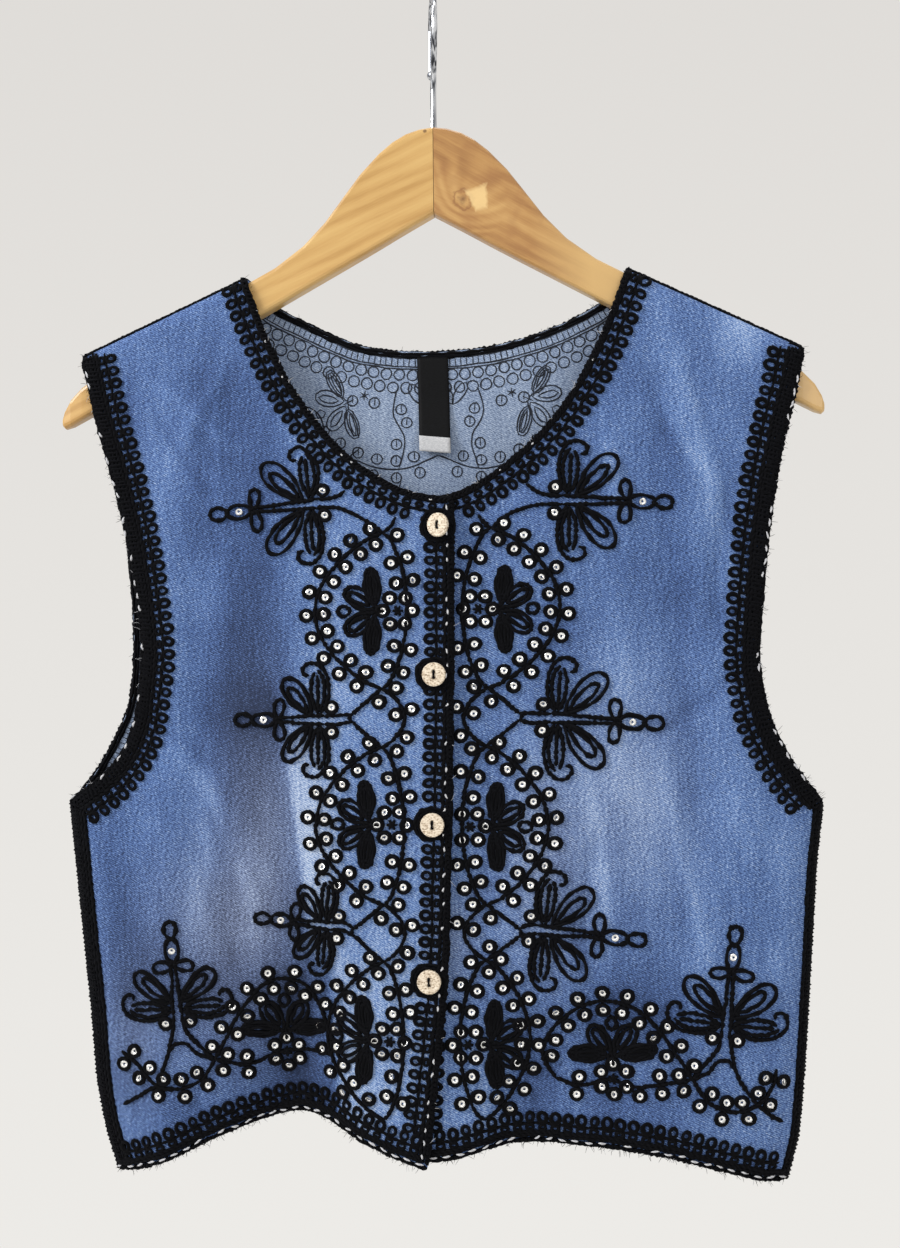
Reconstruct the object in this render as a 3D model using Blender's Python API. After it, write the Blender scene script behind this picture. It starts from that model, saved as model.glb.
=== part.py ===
"""Embroidered denim vest hanging on a wooden hanger, built as sewn panels.

The vest is three cloth panels (two fronts that lap at the centre and one back),
the corded trims that edge them, four buttons and a neck label. It hangs on a
wooden hanger made of two mitred arms with a wire hook. Sizes are millimetres;
x runs to the right, y away from the viewer, z up, and the origin is the inside
of the hook's top, where the hook rests on a rail.
"""

import math
from collections import namedtuple

import bmesh
import bpy
import numpy as np

MM = 0.001

# Cloth and trims
CLOTH = 1.4              # thickness of a panel's wall
SEAM_GAP = 0.3           # space left between two pieces
TRIM_THICK = 1.4         # thickness of the corded trims
TRIM_LIFT = 0.55         # space between a trim and its panel
BENT_LIFT = 0.2          # more of it where a trim bends over a seam
NECK_TRIM = 16.5         # width of the trim at neck, centre front and hem
ARM_STEPS = (0.0, 1.0, 4.0, 9.0, 15.0, 22.0)   # columns by the armhole and side
NECK_STEPS = (16.5, 8.0, 0.0)                  # columns by the neck and centre
CORNER_STEPS = (0.0, 2.0, 4.5, 10.0)   # columns of the back by the neck's corners
TOP_STEPS = (0.0, 1.0, 3.0, 5.0, 9.0)          # rows below the shoulder seam
SHOULDER_ROUND = 8.2     # how far the cloth rounds over the hanger
SIDE_ROUND = 22.0        # how far the cloth rounds at the side seams
LAP_SHIFT = 1.9          # the upper front moves out, the under one in
LAP_FADE = 50.0          # width over which that shift dies out
LAP_TOP = -250.0         # height below which it grows in
LAP_FULL = 25.0          # the shift is whole this near the centre

# Wooden hanger and its wire hook
WOOD_EDGE = 3.0          # rounding of the wood's edges
ROUND_SHARE = 0.38       # the rounding takes at most this share of a thin tip
WIRE_R = 1.75
HOOK_R = 17.0            # radius of the wire's centre line over the rail
HOOK_TURN = math.radians(-8.0)
HOOK_TAIL = -33.0        # height of the tail's end
HOOK_SIDES = 10
BALL_ANGLES = (40, 70, 100, 130, 155)   # rings of the ball, from the wire down
HOOK_BALL = 2.7          # radius of the ball at its end
Bend = namedtuple("Bend", "y z")
HOOK_SHANK = [Bend(0, -60), Bend(-0.4, -51), Bend(-3.2, -43), Bend(-8.5, -35.5),
              Bend(-13.2, -28.5)]

# Buttons
BUTTON_R = 6.8
BUTTON_THICK = 2.6
BUTTON_BEVEL = 0.5
BUTTON_HOLE_R = 0.95
BUTTON_HOLE_PITCH = 3.6

Point = namedtuple("Point", "x z")
Depth = namedtuple("Depth", "z centre outer")
Fold = namedtuple("Fold", "x_top z_top x_low z_low width depth")
WoodSection = namedtuple("WoodSection", "x top low half")
Button = namedtuple("Button", "x z turn lift")

SHOULDER_TIP = {"left": Point(-209, -203), "right": Point(211, -208)}
SHOULDER_NECK = {"left": Point(-112, -159.6), "right": Point(112, -160.2)}

# A point well inside each front, by which the inward side of an edge is told
PANEL_HEART = {"left": Point(-100, -480), "right": Point(100, -480)}

NECK_FRONT = {
    "left": [Point(-112, -159.6), Point(-103, -185), Point(-94, -206), Point(-83, -227),
             Point(-71, -244), Point(-59, -259), Point(-46, -271), Point(-31, -281),
             Point(-14, -289), Point(10, -293)],
    "right": [Point(112, -160.2), Point(102, -187), Point(94, -205), Point(84, -224),
              Point(72, -242), Point(58, -258), Point(43, -271), Point(29, -281),
              Point(14, -289), Point(-8, -293)],
}
CENTRE_EDGE = {
    "left": [Point(10, -293), Point(9, -408), Point(7, -494), Point(4, -568),
             Point(-2, -626), Point(-7, -668.5)],
    "right": [Point(-8, -293), Point(-8, -408), Point(-9, -494), Point(-11, -568),
              Point(-14, -626), Point(-16, -667)],
}
ARMHOLE_FRONT = {
    "left": [Point(-209, -203), Point(-200, -243), Point(-191, -275), Point(-182, -312),
             Point(-176, -348), Point(-173, -379), Point(-175, -402), Point(-179, -423),
             Point(-188, -441), Point(-202, -455), Point(-220, -467)],
    "right": [Point(211, -208), Point(206, -232), Point(199, -260), Point(193, -290),
              Point(188, -325), Point(185, -357), Point(183, -386), Point(185, -404),
              Point(190, -423), Point(200, -443), Point(219, -469)],
}
ARMHOLE_BACK = {
    "left": [Point(-209, -203), Point(-204, -240), Point(-197, -268), Point(-190, -300),
             Point(-187, -330), Point(-185, -362), Point(-186, -394), Point(-190, -415),
             Point(-197, -430), Point(-206, -446), Point(-220, -467)],
    "right": [Point(211, -208), Point(207, -232), Point(201, -260), Point(195, -290),
              Point(190, -325), Point(187, -357), Point(186, -386), Point(188, -404),
              Point(193, -422), Point(203, -444), Point(219, -469)],
}
SIDE_SEAM = {
    "left": [Point(-220, -467), Point(-216, -509), Point(-212, -550), Point(-208, -591),
             Point(-205, -632), Point(-200, -660), Point(-193, -684)],
    "right": [Point(219, -469), Point(215, -502), Point(212, -545), Point(209, -591),
              Point(206, -632), Point(203, -660), Point(197, -683)],
}
HEM_FRONT = {
    "left": [Point(-193, -684), Point(-175, -679), Point(-160, -673), Point(-144, -666),
             Point(-128, -659), Point(-112, -654), Point(-96, -650), Point(-84, -648),
             Point(-72, -649), Point(-60, -652.5), Point(-45, -658.5), Point(-30, -664),
             Point(-7, -670.5)],
    "right": [Point(197, -683), Point(180, -680), Point(155, -673), Point(131, -665.5),
              Point(110, -662.5), Point(88, -661), Point(68, -660), Point(52, -659),
              Point(37, -659.5), Point(23, -662), Point(10, -666), Point(-16, -668)],
}
NECK_BACK = [Point(-112, -159.6), Point(-97, -174), Point(-80, -183), Point(-64, -191),
             Point(-47, -198), Point(-30, -201.5), Point(0, -203), Point(30, -201),
             Point(56, -195), Point(80, -186), Point(98, -176), Point(112, -160.2)]
HEM_BACK = [Point(-193, -684), Point(-172, -674), Point(-144, -662), Point(-114, -654),
            Point(-84, -651), Point(-40, -656), Point(0, -660), Point(60, -662),
            Point(115, -667), Point(155, -675), Point(197, -683)]

DEPTH_FRONT = [Depth(-158, 8.2, 8.2), Depth(-230, 11, 9.5), Depth(-300, 16, 11.5),
               Depth(-380, 20, 12.5), Depth(-470, 24, 14), Depth(-560, 27, 16),
               Depth(-630, 29, 16), Depth(-690, 30, 15)]
DEPTH_BACK = [Depth(-158, 9.0, 9.0), Depth(-230, 11, 9), Depth(-300, 13, 8.5),
              Depth(-380, 15, 8.5), Depth(-470, 18, 12), Depth(-560, 21, 15),
              Depth(-630, 24, 17), Depth(-690, 26, 17)]
DEPTH_WIDTH = 200.0      # the outer depth is reached this far from the centre

FOLDS_FRONT = [
    Fold(-62, -520, -90, -668, 36, -21),    # deep valley in the left hem
    Fold(52, -565, 58, -672, 30, -9),       # shallow valley in the right hem
    Fold(-2, -600, -4, -690, 24, 4),        # ridge at the centre hem
    Fold(150, -560, 132, -690, 30, 6),      # swell beside the right valley
    Fold(-165, -600, -160, -690, 22, 5),    # swell at the left hem corner
    Fold(125, -190, 168, -420, 14, 2.6),    # long fold from the right shoulder
    Fold(-150, -215, -158, -380, 13, 2.2),  # fold under the left shoulder
]
FOLDS_BACK = [
    Fold(-70, -430, -88, -690, 34, 6),      # swells that hang from the blades
    Fold(78, -430, 96, -690, 34, 6),
    Fold(4, -520, 2, -690, 30, -4),
]

HANGER = [WoodSection(0.15, -74, -125, 6), WoodSection(8, -75, -129.3, 6),
          WoodSection(16, -77.5, -133.7, 6), WoodSection(24, -82, -138.2, 6),
          WoodSection(32, -88.5, -142.8, 6), WoodSection(43, -100, -148.9, 6),
          WoodSection(53, -113, -154.4, 6), WoodSection(64, -127.5, -160.4, 6),
          WoodSection(77, -141, -167.5, 6), WoodSection(94, -153.5, -176.8, 6),
          WoodSection(112, -163, -186.6, 6), WoodSection(140, -178.5, -201.8, 6),
          WoodSection(172, -197.5, -219.2, 6), WoodSection(200, -214, -234.6, 6),
          WoodSection(211, -221.5, -240.6, 5.8), WoodSection(218, -228.5, -244.4, 5.2),
          WoodSection(222, -235, -245.8, 4.2), WoodSection(223.4, -239, -244.6, 3.2)]

BUTTONS = [Button(2, -308, math.radians(28), 3.5), Button(-1, -393, math.radians(4), 1.0),
           Button(-2.5, -478, math.radians(2), 0.9), Button(-5, -566, math.radians(3), 0.9)]

LABEL_LEFT = -12.0
LABEL_RIGHT = 6.5
LABEL_TOP = -206.0
LABEL_LOW = -261.0
LABEL_THICK = 1.0
LABEL_GAP = 0.4
LABEL_SKEW = 0.02        # sideways lean for each millimetre down
LABEL_BEND = 0.4         # the label curls below this part of its length
LABEL_CURL = 3.0         # how far its folded end stands off the back

ROWS_NECK = 11           # rows from the shoulder to the neck's lower corner
ROWS_CHEST = 7           # rows from there to the underarm
ROWS_BODY = 11           # rows from the underarm to the hem's trim
MID_COLUMNS = 9          # columns between the trims of a front
SHOULDER_COLUMNS = 4     # columns of the back below each shoulder
NECK_COLUMNS = 9         # columns of the back below the neck
CHEST_DROP = 150.0       # centre front length level with the underarm
ARM_TO_NECK = 150.0      # armhole length level with the neck's lower corner
NECK_ROW = len(TOP_STEPS) + ROWS_NECK - 1
ARM_ROW = NECK_ROW + ROWS_CHEST


def curve_points(table, at):
    """Points of a smooth curve through a table, at the given lengths along it.

    The curve is a Hermite spline whose slope at each row is the difference of
    its neighbours over their distance, sampled finely and read by length.
    """
    rows = np.array([(p.x, p.z) for p in table], float)
    chord = np.hypot(*np.diff(rows, axis=0).T)
    knots = np.concatenate([[0.0], np.cumsum(chord)])
    slope = np.gradient(rows, knots, axis=0)
    fine = np.linspace(0.0, knots[-1], 40 * len(rows))
    left = np.clip(np.searchsorted(knots, fine, side="right") - 1, 0, len(rows) - 2)
    span = (knots[left + 1] - knots[left])[:, None]
    t = ((fine - knots[left])[:, None]) / span
    path = ((2 * t**3 - 3 * t**2 + 1) * rows[left] + (t**3 - 2 * t**2 + t) * span * slope[left]
            + (3 * t**2 - 2 * t**3) * rows[left + 1] + (t**3 - t**2) * span * slope[left + 1])
    run = np.concatenate([[0.0], np.cumsum(np.hypot(*np.diff(path, axis=0).T))])
    return np.stack([np.interp(at, run, path[:, 0]), np.interp(at, run, path[:, 1])], -1)


def curve_length(table):
    """Length of the smooth curve through a table."""
    points = curve_points(table, np.linspace(0.0, 2000.0, 4001))
    return float(np.hypot(*np.diff(points, axis=0).T).sum())


def table_curve(table, x_name, y_name, x):
    """Piecewise linear reading of one column of a table against another."""
    rows = sorted(table, key=lambda row: getattr(row, x_name))
    return np.interp(x, [getattr(r, x_name) for r in rows], [getattr(r, y_name) for r in rows])


def smooth(t):
    """Smooth step from 0 to 1."""
    t = np.clip(t, 0.0, 1.0)
    return t * t * (3.0 - 2.0 * t)


def fold_depth(folds, x, z):
    """Sum of the folds: each a bell across its line that grows down the line."""
    total = np.zeros_like(x)
    for fold in folds:
        along = (fold.z_top - z) / (fold.z_top - fold.z_low)
        line = fold.x_top + (fold.x_low - fold.x_top) * np.clip(along, 0.0, 1.3)
        total = total + fold.depth * smooth(along) * np.exp(-((x - line) / fold.width) ** 2)
    return total


def seam_distances(x, z):
    """Distances from the nearer side seam and below the nearer shoulder seam."""
    side_left = x - table_curve(SIDE_SEAM["left"], "z", "x", z)
    side_right = table_curve(SIDE_SEAM["right"], "z", "x", z) - x
    drops = []
    for side in ("left", "right"):
        tip, neck = SHOULDER_TIP[side], SHOULDER_NECK[side]
        slope = (neck.z - tip.z) / (neck.x - tip.x)
        drops.append(tip.z + slope * (x - tip.x) - z)
    return np.minimum(side_left, side_right), np.where(x < 0, drops[0], drops[1])


def rounding(distance, reach):
    """Quarter round: 0 at a seam and 1 from the reach inward."""
    near = np.clip(distance / reach, 0.0, 1.0)
    return np.sqrt(np.maximum(1.0 - (1.0 - near) ** 2, 0.0))


def cloth_depth(x, z, table, folds):
    """Distance of a panel from the hanger's middle plane."""
    centre = table_curve(table, "z", "centre", z)
    outer = table_curve(table, "z", "outer", z)
    depth = centre + (outer - centre) * smooth(np.abs(x) / DEPTH_WIDTH)
    side, drop = seam_distances(x, z)
    depth = depth + fold_depth(folds, x, z) * smooth(side / 40.0)
    return depth * rounding(side, SIDE_ROUND) * rounding(drop, SHOULDER_ROUND)


def front_y(x, z, side):
    """Depth of a front panel, with the lap of the two fronts at the centre."""
    lap = LAP_SHIFT if side == "left" else -LAP_SHIFT
    reach = -x if side == "left" else x
    lap = lap * (1.0 - smooth((reach - LAP_FULL) / LAP_FADE))
    depth = cloth_depth(x, z, DEPTH_FRONT, FOLDS_FRONT)
    return -np.maximum(depth + lap * smooth((LAP_TOP - z) / 40.0), SEAM_GAP / 2)


def back_y(x, z):
    """Depth of the back panel."""
    return np.maximum(cloth_depth(x, z, DEPTH_BACK, FOLDS_BACK), SEAM_GAP / 2)


def inward(points, toward):
    """Unit normals of a flat polyline that point toward a given point."""
    tangent = np.gradient(points, axis=0)
    tangent /= np.linalg.norm(tangent, axis=1, keepdims=True)
    normal = np.stack([-tangent[:, 1], tangent[:, 0]], -1)
    facing = np.sum(normal * (np.asarray(toward) - points), axis=1, keepdims=True)
    return normal * np.where(facing < 0, -1.0, 1.0)


def edge_rows(upper, lower, splits, corner_row):
    """Points of a panel's edge at its rows: two curves that meet at a corner.

    The rows near the shoulder and above the hem are a fixed step apart, so that
    the trims there have their own rows; the others are spread evenly.
    """
    top, low = curve_length(upper), curve_length(lower)
    lengths = list(TOP_STEPS)
    start = TOP_STEPS[-1]
    for end, count in splits(top, low):
        lengths += list(np.linspace(start, end, count + 1)[1:])
        start = end
    lengths.append(top + low)
    lengths = np.array(lengths)
    points = np.where((lengths <= top + 1e-6)[:, None],
                      curve_points(upper, np.minimum(lengths, top)),
                      curve_points(lower, np.maximum(lengths - top, 0.0)))
    points[corner_row] = (upper[-1].x, upper[-1].z)
    return points


def ring_normals(points, corner, toward):
    """Inward normals along an edge; its one corner has the mitre of its two sides."""
    normal = np.concatenate([inward(points[:corner + 1], toward),
                             inward(points[corner:], toward)[1:]])
    before = inward(points[corner - 1:corner + 1], toward)[0]
    after = inward(points[corner:corner + 2], toward)[0]
    normal[corner] = (before + after) / (1.0 + float(np.dot(before, after)))
    return normal


def front_grid(side):
    """Rows and columns of a front panel as points in space.

    The columns by the edges run parallel to them, so that the trims can be
    made from the panel's own points.
    """
    outer = edge_rows(
        ARMHOLE_FRONT[side], SIDE_SEAM[side],
        lambda top, low: ((ARM_TO_NECK, ROWS_NECK), (top, ROWS_CHEST),
                          (top + low - NECK_TRIM, ROWS_BODY)),
        ARM_ROW)
    inner = edge_rows(
        NECK_FRONT[side], CENTRE_EDGE[side],
        lambda top, low: ((top, ROWS_NECK), (top + CHEST_DROP, ROWS_CHEST),
                          (top + low - NECK_TRIM, ROWS_BODY)),
        NECK_ROW)
    middle = PANEL_HEART[side]
    out_normal = ring_normals(outer, ARM_ROW, middle)
    in_normal = ring_normals(inner, NECK_ROW, middle)
    along = np.array([SHOULDER_NECK[side].x - SHOULDER_TIP[side].x,
                      SHOULDER_NECK[side].z - SHOULDER_TIP[side].z])
    along = along / np.linalg.norm(along)
    for k, step in enumerate(TOP_STEPS):
        turn = smooth(step / 30.0)
        out_normal[k] = along * (1 - turn) + out_normal[k] * turn
        in_normal[k] = -along * (1 - turn) + in_normal[k] * turn
    bottom = inner[-1] - outer[-1]
    bottom = bottom / np.linalg.norm(bottom)
    for row in (-1, -2):
        out_normal[row] = bottom
        in_normal[row] = -bottom
    columns = [outer + out_normal * step for step in ARM_STEPS]
    ends = [inner + in_normal * step for step in NECK_STEPS]
    for t in np.linspace(0, 1, MID_COLUMNS + 1)[1:-1]:
        columns.append(columns[len(ARM_STEPS) - 1] * (1 - t) + ends[0] * t)
    flat = np.stack(columns + ends, axis=1)
    flat = bend_to_hem(flat, HEM_FRONT[side])
    y = front_y(flat[..., 0], flat[..., 1], side)
    return np.stack([flat[..., 0], y, flat[..., 1]], axis=-1)


def bend_to_hem(flat, hem):
    """Move the lower rows so that the last one follows the hem's curve."""
    last = flat[-1]
    want = table_curve(hem, "x", "z", last[:, 0])
    rise = (want - last[:, 1])[None, :]
    low = flat[-2:, :, 1].min()
    high = low + 200.0
    weight = 1.0 - smooth((flat[..., 1] - low) / (high - low))
    weight[-2:] = 1.0
    flat = flat.copy()
    flat[..., 1] += rise * weight
    return flat


def back_grid():
    """Rows and columns of the back panel: a patch between four edge curves."""
    edges = {}
    for side in ("left", "right"):
        edges[side] = edge_rows(
            ARMHOLE_BACK[side], SIDE_SEAM[side],
            lambda top, low: ((NECK_TRIM, 1), (top, ROWS_NECK + ROWS_CHEST - 1),
                              (top + low - NECK_TRIM, ROWS_BODY)),
            ARM_ROW)
    left, right = edges["left"], edges["right"]
    tip_l, tip_r = SHOULDER_TIP["left"], SHOULDER_TIP["right"]
    neck_l, neck_r = SHOULDER_NECK["left"], SHOULDER_NECK["right"]
    near = np.array(CORNER_STEPS)
    mid_x = np.concatenate([
        np.linspace(tip_l.x + ARM_STEPS[-1], neck_l.x, SHOULDER_COLUMNS + 1)[:-1],
        neck_l.x + near,
        np.linspace(neck_l.x + near[-1], neck_r.x - near[-1], NECK_COLUMNS + 1)[1:-1],
        neck_r.x - near[::-1],
        np.linspace(neck_r.x, tip_r.x - ARM_STEPS[-1], SHOULDER_COLUMNS + 1)[1:]])
    top_x = np.concatenate([tip_l.x + np.array(ARM_STEPS[:-1]), mid_x,
                            tip_r.x - np.array(ARM_STEPS[-2::-1])])
    u = (top_x - top_x[0]) / (top_x[-1] - top_x[0])
    line = np.interp(top_x, [tip_l.x, neck_l.x, neck_r.x, tip_r.x],
                     [tip_l.z, neck_l.z, neck_r.z, tip_r.z])
    neck = np.abs(top_x - (neck_l.x + neck_r.x) / 2) < (neck_r.x - neck_l.x) / 2
    top_z = np.where(neck, table_curve(NECK_BACK, "x", "z", top_x), line)
    low_x = left[-1, 0] + u * (right[-1, 0] - left[-1, 0])
    low_x[:len(ARM_STEPS)] = left[-1, 0] + np.array(ARM_STEPS)
    low_x[-len(ARM_STEPS):] = right[-1, 0] - np.array(ARM_STEPS[::-1])
    low_z = table_curve(HEM_BACK, "x", "z", low_x)
    run = np.concatenate([[0], np.cumsum(np.hypot(*np.diff(left, axis=0).T))])
    v = (run / run[-1])[:, None, None]
    top = np.stack([top_x, top_z], -1)[None]
    low = np.stack([low_x, low_z], -1)[None]
    across = u[None, :, None]
    sides = left[:, None] * (1 - across) + right[:, None] * across
    corners = ((left[0] * (1 - across) + right[0] * across) * (1 - v)
               + (left[-1] * (1 - across) + right[-1] * across) * v)
    flat = sides + top * (1 - v) + low * v - corners
    y = back_y(flat[..., 0], flat[..., 1])
    return np.stack([flat[..., 0], y, flat[..., 1]], axis=-1)


def grid_normals(grid, sign):
    """Unit normals of a grid of points, pointing to y of the given sign."""
    du = np.gradient(grid, axis=1)
    dv = np.gradient(grid, axis=0)
    normal = np.cross(du, dv)
    normal /= np.linalg.norm(normal, axis=-1, keepdims=True)
    flip = np.sign(np.median(normal[..., 1])) != sign
    return -normal if flip else normal


def square_to_seam(normal, rows, columns):
    """Keep the wall square to the seam's plane, so that two panels can butt."""
    normal = normal.copy()
    block = normal[rows, columns]
    block[..., 1] = 0.0
    block /= np.linalg.norm(block, axis=-1, keepdims=True)
    normal[rows, columns] = block
    return normal


def wall_mesh(name, grid, normal, low, high):
    """Closed wall lofted between two offsets of one grid of points."""
    rows, columns = grid.shape[:2]
    points = np.concatenate([(grid + normal * low).reshape(-1, 3),
                             (grid + normal * high).reshape(-1, 3)]) * MM
    index = np.arange(rows * columns).reshape(rows, columns)
    a, b = index[:-1, :-1].ravel(), index[:-1, 1:].ravel()
    c, d = index[1:, 1:].ravel(), index[1:, :-1].ravel()
    count = rows * columns
    skin = np.concatenate([np.stack([a, b, c], -1), np.stack([a, c, d], -1)])
    rim = np.concatenate([index[0, :-1], index[:-1, -1], index[-1, :0:-1], index[:0:-1, 0]])
    after = np.roll(rim, -1)
    edge = np.concatenate([np.stack([rim, after, after + count], -1),
                           np.stack([rim, after + count, rim + count], -1)])
    faces = [skin[:, ::-1], skin + count, edge]
    mesh = bpy.data.meshes.new(name)
    mesh.from_pydata(points.tolist(), [], np.concatenate(faces).tolist())
    return mesh


def mesh_volume(mesh):
    """Signed volume of a closed mesh."""
    mesh.calc_loop_triangles()
    total = 0.0
    for tri in mesh.loop_triangles:
        a, b, c = (mesh.vertices[i].co for i in tri.vertices)
        total += a.dot(b.cross(c)) / 6.0
    return total


def add_object(name, mesh, material):
    """Put a closed mesh into the part's collection, its faces outward."""
    if mesh_volume(mesh) < 0:
        mesh.flip_normals()
    mesh.materials.append(material)
    obj = bpy.data.objects.new(name, mesh)
    collection.objects.link(obj)
    return obj


def material(name, colour, roughness, metallic=0.0):
    """A plain Principled material."""
    made = bpy.data.materials.new(name)
    made.use_nodes = True
    shader = made.node_tree.nodes["Principled BSDF"]
    shader.inputs["Base Color"].default_value = (*colour, 1.0)
    shader.inputs["Roughness"].default_value = roughness
    shader.inputs["Metallic"].default_value = metallic
    return made


def drawn_in(grid):
    """A strip of a panel's grid with its first and last rows drawn in by the gap."""
    grid = grid.copy()
    for row, beside in ((0, 1), (-1, -2)):
        step = grid[beside] - grid[row]
        grid[row] += step * (SEAM_GAP / np.linalg.norm(step, axis=-1, keepdims=True))
    return grid


def trim(name, grid, normal):
    """A corded trim that lies on a panel, made from the panel's own points."""
    low = CLOTH / 2 + TRIM_LIFT
    mesh = wall_mesh(name, grid, normal, low, low + TRIM_THICK)
    return add_object(name, mesh, BLACK_WOOL)


def straddle(name, front, back, sign):
    """A trim bent over a seam, from strips of the two panels that meet there.

    The strips run from the seam outward; their first columns join in one.
    """
    seam = (front[:, :1] + back[:, :1]) / 2
    grid = np.concatenate([front[:, :0:-1], seam, back[:, 1:]], axis=1)
    du, dv = np.gradient(grid, axis=1), np.gradient(grid, axis=0)
    normal = np.cross(du, dv)
    normal /= np.linalg.norm(normal, axis=-1, keepdims=True)
    middle = normal[:, grid.shape[1] // 2]
    if np.dot(middle.mean(axis=0), sign) < 0:
        normal = -normal
    low = CLOTH / 2 + TRIM_LIFT + BENT_LIFT
    return add_object(name, wall_mesh(name, grid, normal, low, low + TRIM_THICK), BLACK_WOOL)


def build_front(side):
    """One front panel with its neck and centre trim, armhole trim and hem trim."""
    grid = front_grid(side)
    normal = grid_normals(grid, -1)
    normal = square_to_seam(normal, slice(0, 1), slice(None))
    normal = square_to_seam(normal, slice(ARM_ROW, None), slice(0, 1))
    add_object("front_" + side, wall_mesh("front", grid, normal, -CLOTH / 2, CLOTH / 2), DENIM)
    shoulder = TOP_STEPS.index(5.0)
    neck = slice(shoulder, -1), slice(-len(NECK_STEPS), None)
    armhole = slice(shoulder, ARM_ROW + 1), slice(0, len(ARM_STEPS))
    trim("trim_neck_" + side, drawn_in(grid[neck]), normal[neck])
    trim("trim_armhole_front_" + side, drawn_in(grid[armhole]), normal[armhole])
    trim("trim_hem_front_" + side, grid[-2:], normal[-2:])
    return grid


def build_back():
    """The back panel with its trims."""
    grid = back_grid()
    normal = grid_normals(grid, 1)
    normal = square_to_seam(normal, slice(ARM_ROW, None), slice(0, 1))
    normal = square_to_seam(normal, slice(ARM_ROW, None), slice(-1, None))
    left = int(np.argmin(np.abs(grid[0, :, 0] - SHOULDER_NECK["left"].x)))
    right = int(np.argmin(np.abs(grid[0, :, 0] - SHOULDER_NECK["right"].x)))
    normal = square_to_seam(normal, slice(0, 1), slice(0, left + 1))
    normal = square_to_seam(normal, slice(0, 1), slice(right, None))
    add_object("back", wall_mesh("back", grid, normal, -CLOTH / 2, CLOTH / 2), DENIM)
    shoulder = TOP_STEPS.index(5.0)
    steps = len(ARM_STEPS)
    for side, columns in (("left", slice(0, steps)), ("right", slice(-steps, None))):
        armhole = slice(shoulder, ARM_ROW + 1), columns
        trim("trim_armhole_back_" + side, drawn_in(grid[armhole]), normal[armhole])
    clear = len(CORNER_STEPS) - 1
    neck = slice(0, len(TOP_STEPS) + 1), slice(left + clear, right - clear + 1)
    trim("trim_neck_back", grid[neck], normal[neck])
    trim("trim_hem_back", grid[-2:], normal[-2:])
    return grid, left, right


def build_seams(fronts, back, left, right):
    """The cords that cover the side seams and the shoulder seams."""
    wide = ARM_STEPS.index(9.0) + 1
    for side, sign, edge in (("left", (-1, 0, 0), slice(0, wide)),
                             ("right", (1, 0, 0), slice(-1, -wide - 1, -1))):
        ahead = drawn_in(fronts[side][ARM_ROW:-1, :wide])
        behind = drawn_in(back[ARM_ROW:-1, edge])
        straddle("trim_side_" + side, ahead, behind, sign)
    deep = TOP_STEPS.index(5.0) + 1
    for side, columns in (("left", slice(0, left + 1)), ("right", slice(-1, right - 1, -1))):
        behind = back[:deep, columns].transpose(1, 0, 2)
        ahead = fronts[side][:deep]
        place = np.linalg.norm(behind[:, 0] - behind[0, 0], axis=-1)
        reach = np.linalg.norm(ahead[0] - ahead[0, 0], axis=-1)
        resampled = np.stack([np.stack([np.interp(place / place[-1] * reach[-1], reach, row[:, k])
                                        for k in range(3)], -1) for row in ahead], axis=1)
        straddle("trim_shoulder_" + side, resampled, behind, (0, 0, 1))


def build_label():
    """The bare neck label, stitched at its top, with its folded end hanging free."""
    x = np.linspace(LABEL_LEFT, LABEL_RIGHT, 4)
    z = np.linspace(LABEL_TOP, LABEL_LOW, 8)
    gx, gz = np.meshgrid(x, z)
    gx = gx + (LABEL_TOP - gz) * LABEL_SKEW
    y = back_y(gx, gz)
    down = (LABEL_TOP - gz) / (LABEL_TOP - LABEL_LOW)
    curl = LABEL_CURL * smooth((down - LABEL_BEND) / (1.0 - LABEL_BEND))
    off = CLOTH / 2 + LABEL_GAP + LABEL_THICK / 2 + curl
    grid = np.stack([gx, y - off, gz], -1)
    normal = grid_normals(grid, -1)
    mesh = wall_mesh("label", grid, normal, -LABEL_THICK / 2, LABEL_THICK / 2)
    add_object("neck_label", mesh, LABEL_CLOTH)


def loft_mesh(name, rings):
    """Closed smooth skin through a row of rings, with flat caps."""
    count, around = rings.shape[:2]
    index = np.arange(count * around).reshape(count, around)
    after = np.roll(index, -1, axis=1)
    sides = np.stack([index[:-1], after[:-1], after[1:], index[1:]], -1).reshape(-1, 4)
    faces = sides.tolist() + [index[0, ::-1].tolist(), index[-1].tolist()]
    mesh = bpy.data.meshes.new(name)
    mesh.from_pydata((rings.reshape(-1, 3) * MM).tolist(), [], faces)
    mesh.shade_smooth()
    return mesh


def wood_ring(section, sign):
    """Rounded rectangle of the wood at one section, as a ring of points."""
    ring = []
    round_z = min(WOOD_EDGE, (section.top - section.low) * ROUND_SHARE)
    round_y = min(WOOD_EDGE, section.half * 2 * ROUND_SHARE)
    corners = ((1, section.top, 0), (-1, section.top, 90), (-1, section.low, 180),
               (1, section.low, 270))
    for side, z, start in corners:
        up = 1 if z == section.top else -1
        for step in (0, 30, 60, 90):
            angle = math.radians(start + step)
            y = side * (section.half - round_y) + round_y * math.cos(angle)
            ring.append((sign * section.x, y, z - up * round_z + round_z * math.sin(angle)))
    return ring


def build_wood(side):
    """One arm of the hanger, lofted through its sections from the mitre to the tip."""
    sign = -1 if side == "left" else 1
    rings = np.array([wood_ring(section, sign) for section in HANGER])
    add_object("hanger_arm_" + side, loft_mesh("wood", rings), WOOD)


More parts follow.
